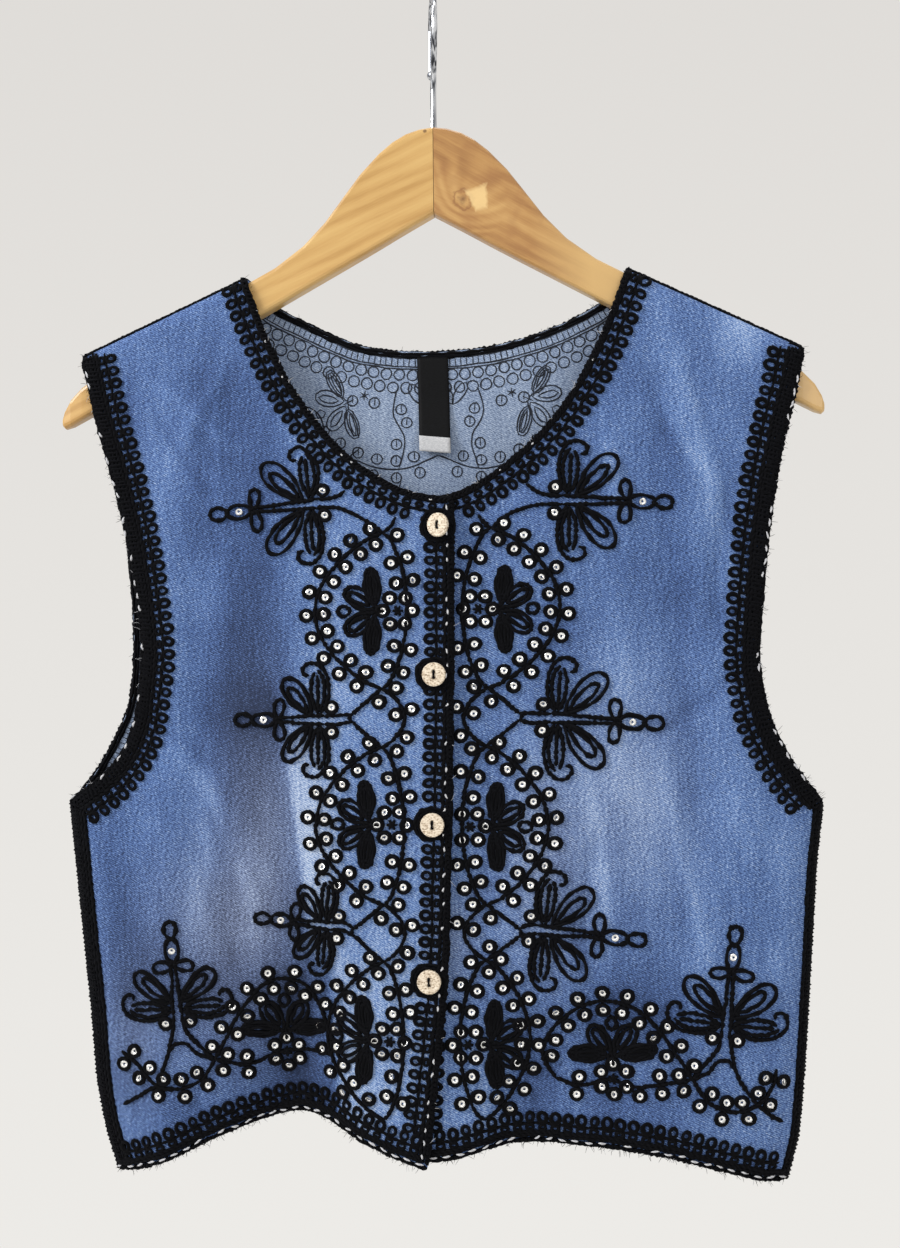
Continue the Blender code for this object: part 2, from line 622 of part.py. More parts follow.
def hook_path():
    """Centre line of the hook: shank, bend, turn over the rail and tail."""
    top = WIRE_R - HOOK_R
    path = [(0.0, HANGER[0].top + SEAM_GAP)] + [(bend.y, bend.z) for bend in HOOK_SHANK]
    for degrees in range(200, -1, -20):
        angle = math.radians(degrees)
        path.append((HOOK_R * math.cos(angle), top + HOOK_R * math.sin(angle)))
    path.append((HOOK_R, HOOK_TAIL))
    turn = (math.sin(HOOK_TURN), math.cos(HOOK_TURN))
    return [(y * turn[0], y * turn[1], z) for y, z in path]


def build_hook():
    """The wire hook with a small ball at its tail, as one closed body."""
    path = np.array(hook_path())
    tangent = np.gradient(path, axis=0)
    tangent /= np.linalg.norm(tangent, axis=1, keepdims=True)
    side = np.array([math.cos(HOOK_TURN), -math.sin(HOOK_TURN), 0.0])
    centres = list(path)
    radii = [WIRE_R] * len(path)
    tangents = list(tangent)
    end, down = path[-1], np.array([0.0, 0.0, -1.0])
    tangents[-1] = down
    for degrees in BALL_ANGLES:
        angle = math.radians(degrees)
        centres.append(end + down * (HOOK_BALL * (1 - math.cos(angle))))
        radii.append(HOOK_BALL * math.sin(angle))
        tangents.append(down)
    rings = []
    for centre, radius, direction in zip(centres, radii, tangents):
        up = np.cross(direction, side)
        turns = np.arange(HOOK_SIDES) * 2 * math.pi / HOOK_SIDES
        rings.append(centre + radius * (np.outer(np.cos(turns), side) + np.outer(np.sin(turns), up)))
    rings = np.array(rings)
    add_object("hanger_hook", loft_mesh("hook", rings), CHROME)


def circle_spline(curve, x, y, radius, count):
    """Add one closed circle to a flat curve."""
    spline = curve.splines.new("POLY")
    spline.points.add(count - 1)
    for k in range(count):
        angle = 2 * math.pi * k / count
        spline.points[k].co = ((x + radius * math.cos(angle)) * MM,
                               (y + radius * math.sin(angle)) * MM, 0.0, 1.0)
    spline.use_cyclic_u = True


def weld(mesh):
    """Join the points of a mesh that lie on each other."""
    shape = bmesh.new()
    shape.from_mesh(mesh)
    bmesh.ops.remove_doubles(shape, verts=shape.verts, dist=0.01 * MM)
    shape.to_mesh(mesh)
    shape.free()


def build_buttons():
    """Flat round buttons with two holes, each lying on the upper front's trim."""
    bevel = BUTTON_BEVEL
    for number, button in enumerate(BUTTONS, 1):
        curve = bpy.data.curves.new("button", "CURVE")
        curve.dimensions = "2D"
        curve.fill_mode = "BOTH"
        curve.extrude = (BUTTON_THICK / 2 - bevel) * MM
        curve.bevel_depth = bevel * MM
        curve.bevel_resolution = 0
        circle_spline(curve, 0.0, 0.0, BUTTON_R - bevel, 24)
        for sign in (-1, 1):
            circle_spline(curve, 0.0, sign * BUTTON_HOLE_PITCH / 2, BUTTON_HOLE_R + bevel, 8)
        holder = bpy.data.objects.new("button_curve", curve)
        graph = bpy.context.evaluated_depsgraph_get()
        collection.objects.link(holder)
        graph.update()
        mesh = bpy.data.meshes.new_from_object(holder.evaluated_get(graph))
        bpy.data.objects.remove(holder)
        x, z = np.array([button.x]), np.array([button.z])
        y = float(front_y(x, z, "left")[0])
        lift = CLOTH / 2 + TRIM_LIFT + TRIM_THICK + button.lift + BUTTON_THICK / 2
        turn = math.cos(button.turn), math.sin(button.turn)
        for vertex in mesh.vertices:
            across, up, out = vertex.co.x, vertex.co.y, vertex.co.z
            vertex.co = (button.x * MM + across * turn[0] - out * turn[1],
                         (y - lift) * MM - across * turn[1] - out * turn[0],
                         button.z * MM + up)
        weld(mesh)
        mesh.materials.clear()
        add_object("button_%d" % number, mesh, COCONUT)


for old in list(bpy.data.objects):
    bpy.data.objects.remove(old)
collection = bpy.data.collections.new("embroidered_vest")
bpy.context.scene.collection.children.link(collection)

DENIM = material("washed_denim", (0.115, 0.215, 0.48), 0.9)
BLACK_WOOL = material("black_wool_cord", (0.006, 0.006, 0.008), 0.95)
WOOD = material("pale_beech", (0.60, 0.36, 0.15), 0.45)
CHROME = material("chrome_wire", (0.75, 0.75, 0.76), 0.18, 1.0)
COCONUT = material("pale_coconut_shell", (0.55, 0.43, 0.30), 0.55)
LABEL_CLOTH = material("black_label_cloth", (0.008, 0.008, 0.01), 0.7)

front_panels = {side: build_front(side) for side in ("left", "right")}
back_panel, back_left, back_right = build_back()
build_seams(front_panels, back_panel, back_left, back_right)
build_label()
for arm in ("left", "right"):
    build_wood(arm)
build_hook()
build_buttons()
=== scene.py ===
# %% [markdown]
# An embroidered denim vest on a wooden hanger
#
# The solids in the frame already have the right size and place. This lesson dresses them:
# each cloth panel gets a thin shell with folds, each trim gets real cords and loops, and the
# embroidery, sequins, buttons and wood get their finish. Everything is worked out in
# millimetres with numpy and put into meshes in metres.

# %% Load the frame and keep its box
import math
from collections import namedtuple

import bpy
import numpy as np
from mathutils import Matrix


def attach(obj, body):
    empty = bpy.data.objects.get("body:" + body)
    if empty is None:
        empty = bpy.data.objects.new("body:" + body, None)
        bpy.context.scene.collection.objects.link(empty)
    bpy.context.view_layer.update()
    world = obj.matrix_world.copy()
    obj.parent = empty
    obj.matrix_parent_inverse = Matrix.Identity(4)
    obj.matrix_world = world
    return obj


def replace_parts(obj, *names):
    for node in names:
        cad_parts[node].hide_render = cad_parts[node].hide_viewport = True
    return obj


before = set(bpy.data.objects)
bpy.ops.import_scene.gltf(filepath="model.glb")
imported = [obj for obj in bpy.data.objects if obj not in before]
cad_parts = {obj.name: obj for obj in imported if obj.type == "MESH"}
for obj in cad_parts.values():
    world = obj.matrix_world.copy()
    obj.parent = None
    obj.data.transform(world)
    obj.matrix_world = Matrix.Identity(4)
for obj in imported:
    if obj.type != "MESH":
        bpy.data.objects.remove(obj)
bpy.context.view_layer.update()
MM = 0.001

# %% [markdown]
# The view
#
# A photograph's viewing angle is a camera position, a direction and a lens. Here the camera
# is level with the middle of the vest, 0.8 m away, a little to the right and rolled by half a
# degree. Its three axes are written straight into a matrix, which is clearer than angles.

# %% Camera at the picture's viewing angle
IMAGE_HEIGHT = 1248.0          # the picture is taken as 900 by 1248
FOCAL_PIXELS = 1363.0
SENSOR = 36.0
VIEW_DISTANCE = 0.80
VIEW_TURN = math.radians(4.0)
VIEW_ROLL = math.radians(0.6)
VIEW_TARGET = np.array([0.0066, 0.0, -0.3645])


def stand(name, data, right, up, back, place):
    """Put a camera or lamp at a place, by its right, up and back axes."""
    thing = bpy.data.objects.new(name, data)
    thing.matrix_world = Matrix([[right[k], up[k], back[k], place[k]] for k in range(3)]
                                + [[0.0, 0.0, 0.0, 1.0]])
    bpy.context.collection.objects.link(thing)
    return thing


level = np.array([math.cos(VIEW_TURN), math.sin(VIEW_TURN), 0.0])
forward = np.array([-math.sin(VIEW_TURN), math.cos(VIEW_TURN), 0.0])
upright = np.array([0.0, 0.0, 1.0])
lens = bpy.data.cameras.new("view")
lens.sensor_width = SENSOR
lens.lens = FOCAL_PIXELS * SENSOR / IMAGE_HEIGHT
bpy.context.scene.camera = stand(
    "view", lens, math.cos(VIEW_ROLL) * level - math.sin(VIEW_ROLL) * upright,
    math.sin(VIEW_ROLL) * level + math.cos(VIEW_ROLL) * upright, -forward,
    VIEW_TARGET - VIEW_DISTANCE * forward)
print("lens in millimetres:", round(lens.lens, 1))

# %% [markdown]
# Colour
#
# Colours are read off a picture as hex values, which are sRGB. Shaders work in linear light,
# so one function turns a hex value into linear numbers. One more adds a node to a material,
# sets its inputs and links others to it, so that a material reads like a recipe. The patterns
# that many materials share, such as noise and bump, have a short function each.

# %% Colour and node helpers
def linear(code):
    """Linear colour of an sRGB hex value: each channel over 0.04045 is raised to 2.4."""
    srgb = np.array([int(code[k:k + 2], 16) for k in (1, 3, 5)]) / 255.0
    low, high = srgb / 12.92, ((srgb + 0.055) / 1.055) ** 2.4
    return (*np.where(srgb <= 0.04045, low, high).tolist(), 1.0)


def feed(made, new, **inputs):
    """Set a node's inputs to values or link sockets to them.

    An underscore in an input's name stands for a space, and a name such as i0
    means the input with that number.
    """
    for key, value in inputs.items():
        number = key[0] == "i" and key[1:].isdigit()
        socket = new.inputs[int(key[1:]) if number else key.replace("_", " ")]
        if isinstance(value, bpy.types.NodeSocket):
            made.node_tree.links.new(value, socket)
        else:
            socket.default_value = value
    return new


def node(made, kind, settings=None, **inputs):
    """Add a node; settings are its properties, inputs are values or sockets to link."""
    new = made.node_tree.nodes.new("ShaderNode" + kind)
    for key, value in (settings or {}).items():
        setattr(new, key, value)
    return feed(made, new, **inputs)


def new_material(name):
    """A material, its Principled shader, and the object's own coordinates."""
    made = bpy.data.materials.new(name)
    made.use_nodes = True
    return (made, made.node_tree.nodes["Principled BSDF"],
            node(made, "TexCoord").outputs["Object"])


def ramp(made, factor, stops):
    """Colour ramp from (position, hex) pairs."""
    new = node(made, "ValToRGB", Fac=factor)
    while len(new.color_ramp.elements) < len(stops):
        new.color_ramp.elements.new(0.5)
    for element, (place, code) in zip(new.color_ramp.elements, stops):
        element.position = place
        element.color = linear(code)
    return new.outputs["Color"]


def mixed(made, amount, first, second):
    """Mix two colours by an amount."""
    return node(made, "Mix", {"data_type": "RGBA"}, i0=amount, i6=first, i7=second).outputs[2]


def sums(made, kind, first, second=0.0):
    """One step of arithmetic on two values."""
    return node(made, "Math", {"operation": kind}, i0=first, i1=second).outputs[0]


def added(made, *parts):
    """The sum of some values, each a socket or a pair of a socket and its share."""
    total = 0.0
    for part in parts:
        if isinstance(part, tuple):
            part = sums(made, "MULTIPLY", *part)
        total = sums(made, "ADD", total, part)
    return total


def centred(made, value, share):
    """A number from 0 to 1 made to swing on both sides of 0, by a share."""
    return sums(made, "MULTIPLY", sums(made, "SUBTRACT", value, 0.5), share)


def noise(made, place, scale, detail=2.0, **more):
    """Smooth noise from 0 to 1."""
    return node(made, "TexNoise", Vector=place, Scale=scale, Detail=detail, **more).outputs["Fac"]


def stretched(made, place, scale, **more):
    """Coordinates scaled along each axis, after a turn if one is given."""
    return node(made, "Mapping", Vector=place, Scale=scale, **more).outputs[0]


def rescaled(made, value, start, end, low, high):
    """A value carried from one range to another and kept inside it."""
    return node(made, "MapRange", Value=value, From_Min=start, From_Max=end, To_Min=low,
                To_Max=high).outputs[0]


def kept(made, name):
    """A number that the mesh keeps at each point."""
    return node(made, "Attribute", {"attribute_name": name}).outputs["Fac"]


def bump(made, height, strength, distance):
    """Small relief as a normal."""
    return node(made, "Bump", Height=height, Strength=strength, Distance=distance).outputs[0]


def speckled(name, stops, scale, detail=2.0, scales=(1.0, 1.0, 1.0), relief=0.0, **finish):
    """A material of stretched noise read through a ramp, with relief where it is asked for."""
    made, shader, place = new_material(name)
    fleck = noise(made, stretched(made, place, scales), scale, detail)
    if relief:
        finish["Normal"] = bump(made, fleck, relief, 0.0002)
    feed(made, shader, Base_Color=ramp(made, fleck, stops), **finish)
    return made


print("denim blue in linear light:", [round(v, 3) for v in linear("#5A78AC")])

# %% [markdown]
# The shape of the cloth
#
# A hung garment is nearly flat, so each panel can be drawn as an outline in the plane of the
# hanger and a depth over it. The outline is a few smooth edge curves. The depth is a gentle
# belly, with each fold a bell across a line that grows as it runs down, and a quarter round
# where the panel turns over the shoulder and the side seam. The same numbers shaped the
# solids; this copy is finer and adds the small creases.

# %% Outline and depth tables in millimetres
Fold = namedtuple("Fold", "x_top z_top x_low z_low width depth")
SIDES = ("left", "right")


def table(*numbers):
    """Rows of numbers as an array."""
    return np.array(numbers, float)


def rows(kind, *table_rows):
    """Rows of numbers as named tuples."""
    return [kind(*row) for row in table_rows]


NECK_FRONT = {
    "left": table((-112, -159.6), (-103, -185), (-94, -206), (-83, -227), (-71, -244), (-59, -259),
        (-46, -271), (-31, -281), (-14, -289), (10, -293)),
    "right": table((112, -160.2), (102, -187), (94, -205), (84, -224), (72, -242), (58, -258),
        (43, -271), (29, -281), (14, -289), (-8, -293)),
}
CENTRE_EDGE = {
    "left": table((10, -293), (9, -408), (7, -494), (4, -568), (-2, -626), (-7, -668.5)),
    "right": table((-8, -293), (-8, -408), (-9, -494), (-11, -568), (-14, -626), (-16, -667)),
}
ARMHOLE_FRONT = {
    "left": table((-209, -203), (-200, -243), (-191, -275), (-182, -312), (-176, -348),
        (-173, -379), (-175, -402), (-179, -423), (-188, -441), (-202, -455), (-220, -467)),
    "right": table((211, -208), (206, -232), (199, -260), (193, -290), (188, -325), (185, -357),
        (183, -386), (185, -404), (190, -423), (200, -443), (219, -469)),
}
ARMHOLE_BACK = {
    "left": table((-209, -203), (-204, -240), (-197, -268), (-190, -300), (-187, -330),
        (-185, -362), (-186, -394), (-190, -415), (-197, -430), (-206, -446), (-220, -467)),
    "right": table((211, -208), (207, -232), (201, -260), (195, -290), (190, -325), (187, -357),
        (186, -386), (188, -404), (193, -422), (203, -444), (219, -469)),
}
SIDE_SEAM = {
    "left": table((-220, -467), (-216, -509), (-212, -550), (-208, -591), (-205, -632),
        (-200, -660), (-193, -684)),
    "right": table((219, -469), (215, -502), (212, -545), (209, -591), (206, -632), (203, -660),
        (197, -683)),
}
HEM_FRONT = {
    "left": table((-193, -684), (-175, -679), (-160, -673), (-144, -666), (-128, -659),
        (-112, -654), (-96, -650), (-84, -648), (-72, -649), (-60, -652.5), (-45, -658.5),
        (-30, -664), (-7, -670.5)),
    "right": table((197, -683), (180, -680), (155, -673), (131, -665.5), (110, -662.5), (88, -661),
        (68, -660), (52, -659), (37, -659.5), (23, -662), (10, -666), (-16, -668)),
}
NECK_BACK = table((-112, -159.6), (-97, -174), (-80, -183), (-64, -191), (-47, -198), (-30, -201.5),
        (0, -203), (30, -201), (56, -195), (80, -186), (98, -176), (112, -160.2))
HEM_BACK = table((-193, -684), (-172, -674), (-144, -662), (-114, -654), (-84, -651), (-40, -656),
        (0, -660), (60, -662), (115, -667), (155, -675), (197, -683))
# columns: height, depth at the middle, depth at the sides
DEPTH_FRONT = table((-158, 8.2, 8.2), (-230, 11, 9.5), (-300, 16, 11.5), (-380, 20, 12.5),
        (-470, 24, 14), (-560, 27, 16), (-630, 29, 16), (-690, 30, 15))
DEPTH_BACK = table((-158, 9, 9), (-230, 11, 9), (-300, 13, 8.5), (-380, 15, 8.5), (-470, 18, 12),
        (-560, 21, 15), (-630, 24, 17), (-690, 26, 17))
# the hem's deep left valley and shallow right one, the swells beside them, shoulder folds
FOLDS_FRONT = rows(Fold, (-62, -520, -90, -668, 36, -21), (52, -565, 58, -672, 30, -9),
        (-2, -600, -4, -690, 24, 4), (150, -560, 132, -690, 30, 6), (-165, -600, -160, -690, 22, 5),
        (125, -190, 168, -420, 14, 2.6), (-150, -215, -158, -380, 13, 2.2))
# swells that hang from the blades
FOLDS_BACK = rows(Fold, (-70, -430, -88, -690, 34, 6), (78, -430, 96, -690, 34, 6),
        (4, -520, 2, -690, 30, -4))
# long soft creases, then short ones: pulled from the armholes and neck, dragged under arms
CREASES_FRONT = rows(Fold, (-128, -200, -132, -330, 7, -1.1), (-172, -240, -150, -470, 8, 0.9),
        (-140, -330, -118, -560, 12, -1.3), (146, -200, 178, -330, 6, -1.2),
        (120, -230, 150, -500, 9, -1.5), (100, -300, 104, -470, 8, 0.8),
        (172, -440, 150, -600, 11, 1.2), (186, -470, 190, -640, 9, -1.4),
        (-190, -480, -186, -640, 10, -1.3), (-108, -470, -112, -640, 9, 1.3),
        (-46, -560, -40, -690, 9, 1.6), (-124, -560, -128, -680, 10, 1.4),
        (86, -560, 92, -680, 10, -1.3), (24, -590, 26, -690, 9, 1.5), (112, -520, 118, -660, 8, 1),
        (-20, -310, -24, -560, 10, -0.7), (-176, -215, -120, -262, 4.5, 1.5),
        (-170, -228, -128, -292, 4, -1.3), (-112, -196, -152, -268, 5, 1.5),
        (118, -196, 132, -268, 4.5, -1.5), (134, -206, 164, -300, 5, 1.9),
        (176, -262, 158, -380, 5.5, -1.5), (98, -246, 112, -330, 5, 1.6),
        (182, -380, 120, -432, 6, -1.4), (-186, -400, -128, -452, 6, -1.4),
        (96, -470, 82, -560, 6, -1.5), (-132, -198, -128, -300, 4, 1.2),
        (-160, -420, -104, -530, 5, 1.2), (-150, -460, -110, -580, 4.5, -1),
        (130, -440, 154, -560, 4.5, 1.2), (30, -320, 26, -560, 9, -0.8))
CREASES_BACK = rows(Fold, (-120, -200, -134, -420, 9, 1.2), (124, -205, 130, -400, 10, -1.2),
        (-20, -230, -34, -480, 11, -1), (36, -240, 40, -460, 9, 0.9),
        (-150, -440, -140, -660, 12, -1.6), (160, -460, 150, -660, 12, 1.5),
        (-36, -500, -40, -680, 10, 1.5), (50, -520, 44, -680, 11, -1.4),
        (120, -430, 122, -600, 8, 1), (-100, -380, -104, -560, 9, -0.9))
SHOULDER_TIP = {side: ARMHOLE_FRONT[side][0] for side in SIDES}
SHOULDER_NECK = {side: NECK_FRONT[side][0] for side in SIDES}
SHOULDER_ROUND = 8.2
SIDE_ROUND = 22.0
DEPTH_WIDTH = 200.0
LAP_SHIFT = 1.9
CLOTH = 1.4
SEAM_GAP = 0.3
CREASE_BOW = 5.0
print("folds:", len(FOLDS_FRONT + FOLDS_BACK + CREASES_FRONT + CREASES_BACK))

# %% Smooth curves and the depth of the cloth
def unit(vectors):
    """Vectors with length one."""
    return vectors / (np.linalg.norm(vectors, axis=-1, keepdims=True) + 1e-9)


def run_of(path):
    """Length along a path at each of its points, from 0."""
    return np.concatenate([[0.0], np.cumsum(np.linalg.norm(np.diff(path, axis=0), axis=1))])


def at_lengths(path, lengths):
    """Points of a path at the given lengths along it."""
    run = run_of(path)
    return np.stack([np.interp(lengths, run, path[:, k]) for k in range(path.shape[1])], -1)


def even(path, step):
    """The same path with points an even distance apart, near the given step."""
    total = path_length(path)
    count = max(int(round(total / step)), 3) + 1
    return at_lengths(path, np.linspace(0.0, total, count))


def path_length(path):
    """Length of a path of points."""
    return float(run_of(path)[-1])


def smooth_curve(points, step=1.0):
    """Even points along a Hermite spline through a few points.

    The slope at each is the difference of its neighbours over their distance.
    The spline is sampled finely, then read again by its length.
    """
    points = np.asarray(points, float)
    knots = run_of(points)
    slope = np.gradient(points, knots, axis=0)
    fine = np.linspace(0.0, knots[-1], 40 * len(points))
    left = np.clip(np.searchsorted(knots, fine, side="right") - 1, 0, len(points) - 2)
    span = (knots[left + 1] - knots[left])[:, None]
    t = (fine - knots[left])[:, None] / span
    path = ((2 * t**3 - 3 * t**2 + 1) * points[left] + (t**3 - 2 * t**2 + t) * span * slope[left]
            + (3 * t**2 - 2 * t**3) * points[left + 1] + (t**3 - t**2) * span * slope[left + 1])
    return even(path, step)


def read(data, value, by=0, want=1):
    """Straight-line reading of one column of a table against another."""
    data = data[np.argsort(data[:, by], kind="stable")]
    return np.interp(value, data[:, by], data[:, want])


def smooth(t):
    """Smooth step from 0 to 1: three t squared less two t cubed."""
    t = np.clip(t, 0.0, 1.0)
    return t * t * (3.0 - 2.0 * t)


def fold_sum(folds, x, z):
    """Sum of the folds: each a bell across its line that grows down the line."""
    total = np.zeros_like(x)
    for fold in folds:
        along = (fold.z_top - z) / (fold.z_top - fold.z_low)
        line = fold.x_top + (fold.x_low - fold.x_top) * np.clip(along, 0.0, 1.3)
        total = total + fold.depth * smooth(along) * np.exp(-((x - line) / fold.width) ** 2)
    return total


def crease_sum(creases, x, z):
    """Small creases: a bell across a bowed line that fades out at both its ends."""
    total = np.zeros_like(x)
    for number, fold in enumerate(creases):
        along = (fold.z_top - z) / (fold.z_top - fold.z_low)
        bow = CREASE_BOW * np.sin(1.7 * number) * np.sin(np.pi * np.clip(along, 0.0, 1.0))
        line = fold.x_top + (fold.x_low - fold.x_top) * along + bow
        shown = smooth(along * 3.0) * smooth((1.12 - along) * 3.0)
        total = total + fold.depth * shown * np.exp(-((x - line) / fold.width) ** 2)
    return total


def quarter_round(distance, reach):
    """Rises from 0 at a seam to 1 at the reach as a quarter of a circle."""
    near = np.clip(distance / reach, 0.0, 1.0)
    return np.sqrt(np.maximum(1.0 - (1.0 - near) ** 2, 0.0))


def cloth_depth(x, z, data, folds, creases):
    """Distance of a panel from the hanger's plane: belly, folds, creases and rounding."""
    centre, outer = read(data, z, 0, 1), read(data, z, 0, 2)
    depth = centre + (outer - centre) * smooth(np.abs(x) / DEPTH_WIDTH)
    side = np.minimum(x - read(SIDE_SEAM["left"], z, 1, 0), read(SIDE_SEAM["right"], z, 1, 0) - x)
    drops = []
    for name in SIDES:
        tip, neck = SHOULDER_TIP[name], SHOULDER_NECK[name]
        slope = (neck[1] - tip[1]) / (neck[0] - tip[0])
        drops.append(tip[1] + slope * (x - tip[0]) - z)
    drop = np.where(x < 0, *drops)
    depth = depth + fold_sum(folds, x, z) * smooth(side / 40.0)
    depth = depth + crease_sum(creases, x, z) * smooth(side / 40.0) * smooth(drop / 30.0)
    return depth * quarter_round(side, SIDE_ROUND) * quarter_round(drop, SHOULDER_ROUND)


def surface_y(x, z, panel):
    """Depth of the left, right or back panel. The left front laps out over the right one."""
    if panel == "back":
        return np.maximum(cloth_depth(x, z, DEPTH_BACK, FOLDS_BACK, CREASES_BACK), SEAM_GAP / 2)
    outward, reach = (LAP_SHIFT, -x) if panel == "left" else (-LAP_SHIFT, x)
    lap = outward * (1.0 - smooth((reach - 25.0) / 50.0)) * smooth((-250.0 - z) / 40.0)
    depth = cloth_depth(x, z, DEPTH_FRONT, FOLDS_FRONT, CREASES_FRONT)
    return -np.maximum(depth + lap, SEAM_GAP / 2)


def surface_normal(x, z, panel):
    """Unit normal that points out of the vest, from the depth's slopes."""
    step = 0.4
    slope_x = (surface_y(x + step, z, panel) - surface_y(x - step, z, panel)) / (2 * step)
    slope_z = (surface_y(x, z + step, panel) - surface_y(x, z - step, panel)) / (2 * step)
    sign = 1.0 if panel == "back" else -1.0
    return unit(np.stack([-np.clip(slope_x, -3.0, 3.0) * sign, np.full_like(x, sign),
                          -np.clip(slope_z, -3.0, 3.0) * sign], -1))


def on_cloth(flat, panel, lift):
    """Points of a flat drawing moved onto a panel and off it by a lift, with normals."""
    flat = np.asarray(flat, float)
    x, z = flat[..., 0], flat[..., 1]
    normal = surface_normal(x, z, panel)
    points = np.stack([x, surface_y(x, z, panel), z], -1)
    return points + normal * (CLOTH / 2 + lift), normal


middle_depth = surface_y(np.array([-100.0]), np.array([-480.0]), "left")[0]
print("front panel's depth near its middle, mm:", round(float(middle_depth), 1))

# %% [markdown]
# Light and floor
#
# Soft studio light is a pale surround that lights from everywhere and a few large area lamps
# that give the folds a side. The surround is a little lighter below than above, as a wall in
# window light is. The floor is a pale sheet far below the vest.

# %% Surround, lamps and floor
def area_lamp(name, place, aim, size, watts):
    """A square lamp at a place, turned to shine at a point."""
    data = bpy.data.lights.new(name, "AREA")
    data.size = size
    data.energy = watts
    away = unit(np.array(place) - np.array(aim))
    side = unit(np.cross([0.0, 0.0, 1.0], away))
    stand(name, data, side, np.cross(away, side), away, place)


world = bpy.data.worlds.new("pale_surround")
bpy.context.scene.world = world
world.use_nodes = True
ways = node(world, "TexCoord").outputs["Generated"]
height = node(world, "SeparateXYZ", Vector=ways).outputs["Z"]
shown = ramp(world, rescaled(world, height, -0.4, 0.4, 0.0, 1.0),
             [(0.0, "#FDFBF7"), (1.0, "#EFECE8")])
feed(world, world.node_tree.nodes["Background"], Color=shown, Strength=0.86)
bpy.context.scene.view_settings.view_transform = "Standard"
area_lamp("key_lamp", (-1.5, -1.0, 0.65), (0.0, 0.0, -0.42), 0.7, 34.0)
area_lamp("fill_lamp", (1.2, -1.7, 0.3), (0.0, 0.0, -0.42), 1.2, 10.0)
area_lamp("top_lamp", (0.2, 0.2, 1.4), (0.0, 0.0, -0.3), 1.0, 8.0)

FLOOR_LEVEL = -1.25
FLOOR_HALF = 1.05
floor_mesh = bpy.data.meshes.new("floor")
floor_mesh.from_pydata([(x * FLOOR_HALF, y * FLOOR_HALF, FLOOR_LEVEL)
                        for x, y in ((-1, -1), (1, -1), (1, 1), (-1, 1))], [], [(0, 1, 2, 3)])
floor = bpy.data.objects.new("floor", floor_mesh)
bpy.context.collection.objects.link(floor)
matt_board, board, _ = new_material("matt_white_board")
feed(matt_board, board, Base_Color=linear("#E9E7E2"), Roughness=1.0)
floor_mesh.materials.append(matt_board)
print("floor at", FLOOR_LEVEL, "m and three lamps")

# %% [markdown]
# From arrays to meshes
#
# A grid of points is a surface with two parameters. Two offsets of one grid along its
# normals, joined round the rim, make a closed wall, which is how each cloth panel gets its
# thickness. A list of quads is all that a mesh needs, so one function makes every piece.

# %% Mesh helpers
def put_mesh(name, slot, points, quads, materials, faces=None, uv=None, values=None):
    """A smooth piece from points in millimetres and an array of four-cornered faces.

    faces gives each face's material number, uv a pair for each point in
    millimetres, and values named numbers for each point.
    """
    mesh = bpy.data.meshes.new(name)
    mesh.vertices.add(len(points))
    mesh.vertices.foreach_set("co", (np.asarray(points, float) * MM).ravel())
    corners = np.asarray(quads, np.int32).ravel()
    mesh.loops.add(len(corners))
    mesh.loops.foreach_set("vertex_index", corners)
    mesh.polygons.add(len(quads))
    mesh.polygons.foreach_set("loop_start", np.arange(0, len(corners), 4, dtype=np.int32))
    for made in materials:
        mesh.materials.append(made)
    if faces is not None:
        mesh.polygons.foreach_set("material_index", np.asarray(faces, np.int32))
    if uv is not None:
        layer = mesh.uv_layers.new(name="cloth_mm")
        layer.data.foreach_set("uv", np.asarray(uv, float)[corners].ravel())
    for key, numbers in (values or {}).items():
        layer = mesh.attributes.new(key, "FLOAT", "POINT")
        layer.data.foreach_set("value", np.asarray(numbers, float).ravel())
    mesh.update(calc_edges=True)
    mesh.shade_smooth()
    piece = bpy.data.objects.new(name, mesh)
    bpy.context.collection.objects.link(piece)
    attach(piece, "root")
    print(name, len(quads) * 2, "triangles")
    return piece


def grid_normals(grid, sign):
    """Unit normals of a grid, pointing to y of the given sign."""
    normal = unit(np.cross(np.gradient(grid, axis=1), np.gradient(grid, axis=0)))
    return normal * (1.0 if np.sign(np.median(normal[..., 1])) == sign else -1.0)


def wall(grid, normal, half):
    """A closed wall: points, quads of both skins and the rim, and 1 for the inner skin's."""
    count = grid.shape[0] * grid.shape[1]
    index = np.arange(count).reshape(grid.shape[:2])
    skin = np.stack([index[:-1, :-1], index[:-1, 1:], index[1:, 1:], index[1:, :-1]],
                    -1).reshape(-1, 4)
    rim = np.concatenate([index[0, :-1], index[:-1, -1], index[-1, :0:-1], index[:0:-1, 0]])
    after = np.roll(rim, -1)
    edge = np.stack([after, rim, rim + count, after + count], -1)
    part = np.repeat([0, 1, 0], [len(skin), len(skin), len(edge)])
    points = np.concatenate([(grid + normal * half * way).reshape(-1, 3) for way in (1, -1)])
    return points, np.concatenate([skin, skin[:, ::-1] + count, edge]), part


# %% [markdown]
# Washed denim
#
# Denim is a twill: blue warp threads lie over a white weft in fine slanting ribs. Stone
# washing rubs the blue off where the cloth stands proud, so the colour is never even. Here
# the tone has three scales. Broad patches are a number kept at each point: fading, and painted
# shade in the fold valleys and on the left front. A second number greys some places, on the left
# front as painted shade. Slubs are noise stretched along the warp. The ribs and the salt-and-pepper
# of the threads are a slanting wave and a fine noise. Real ribs are 0.5 mm apart; they are drawn
# at 1.1 mm, or the picture would not show them. On the inside the white weft lies on top.

# %% Denim outside and inside
RIB = 1.1
RIB_SLANT = math.radians(-62)


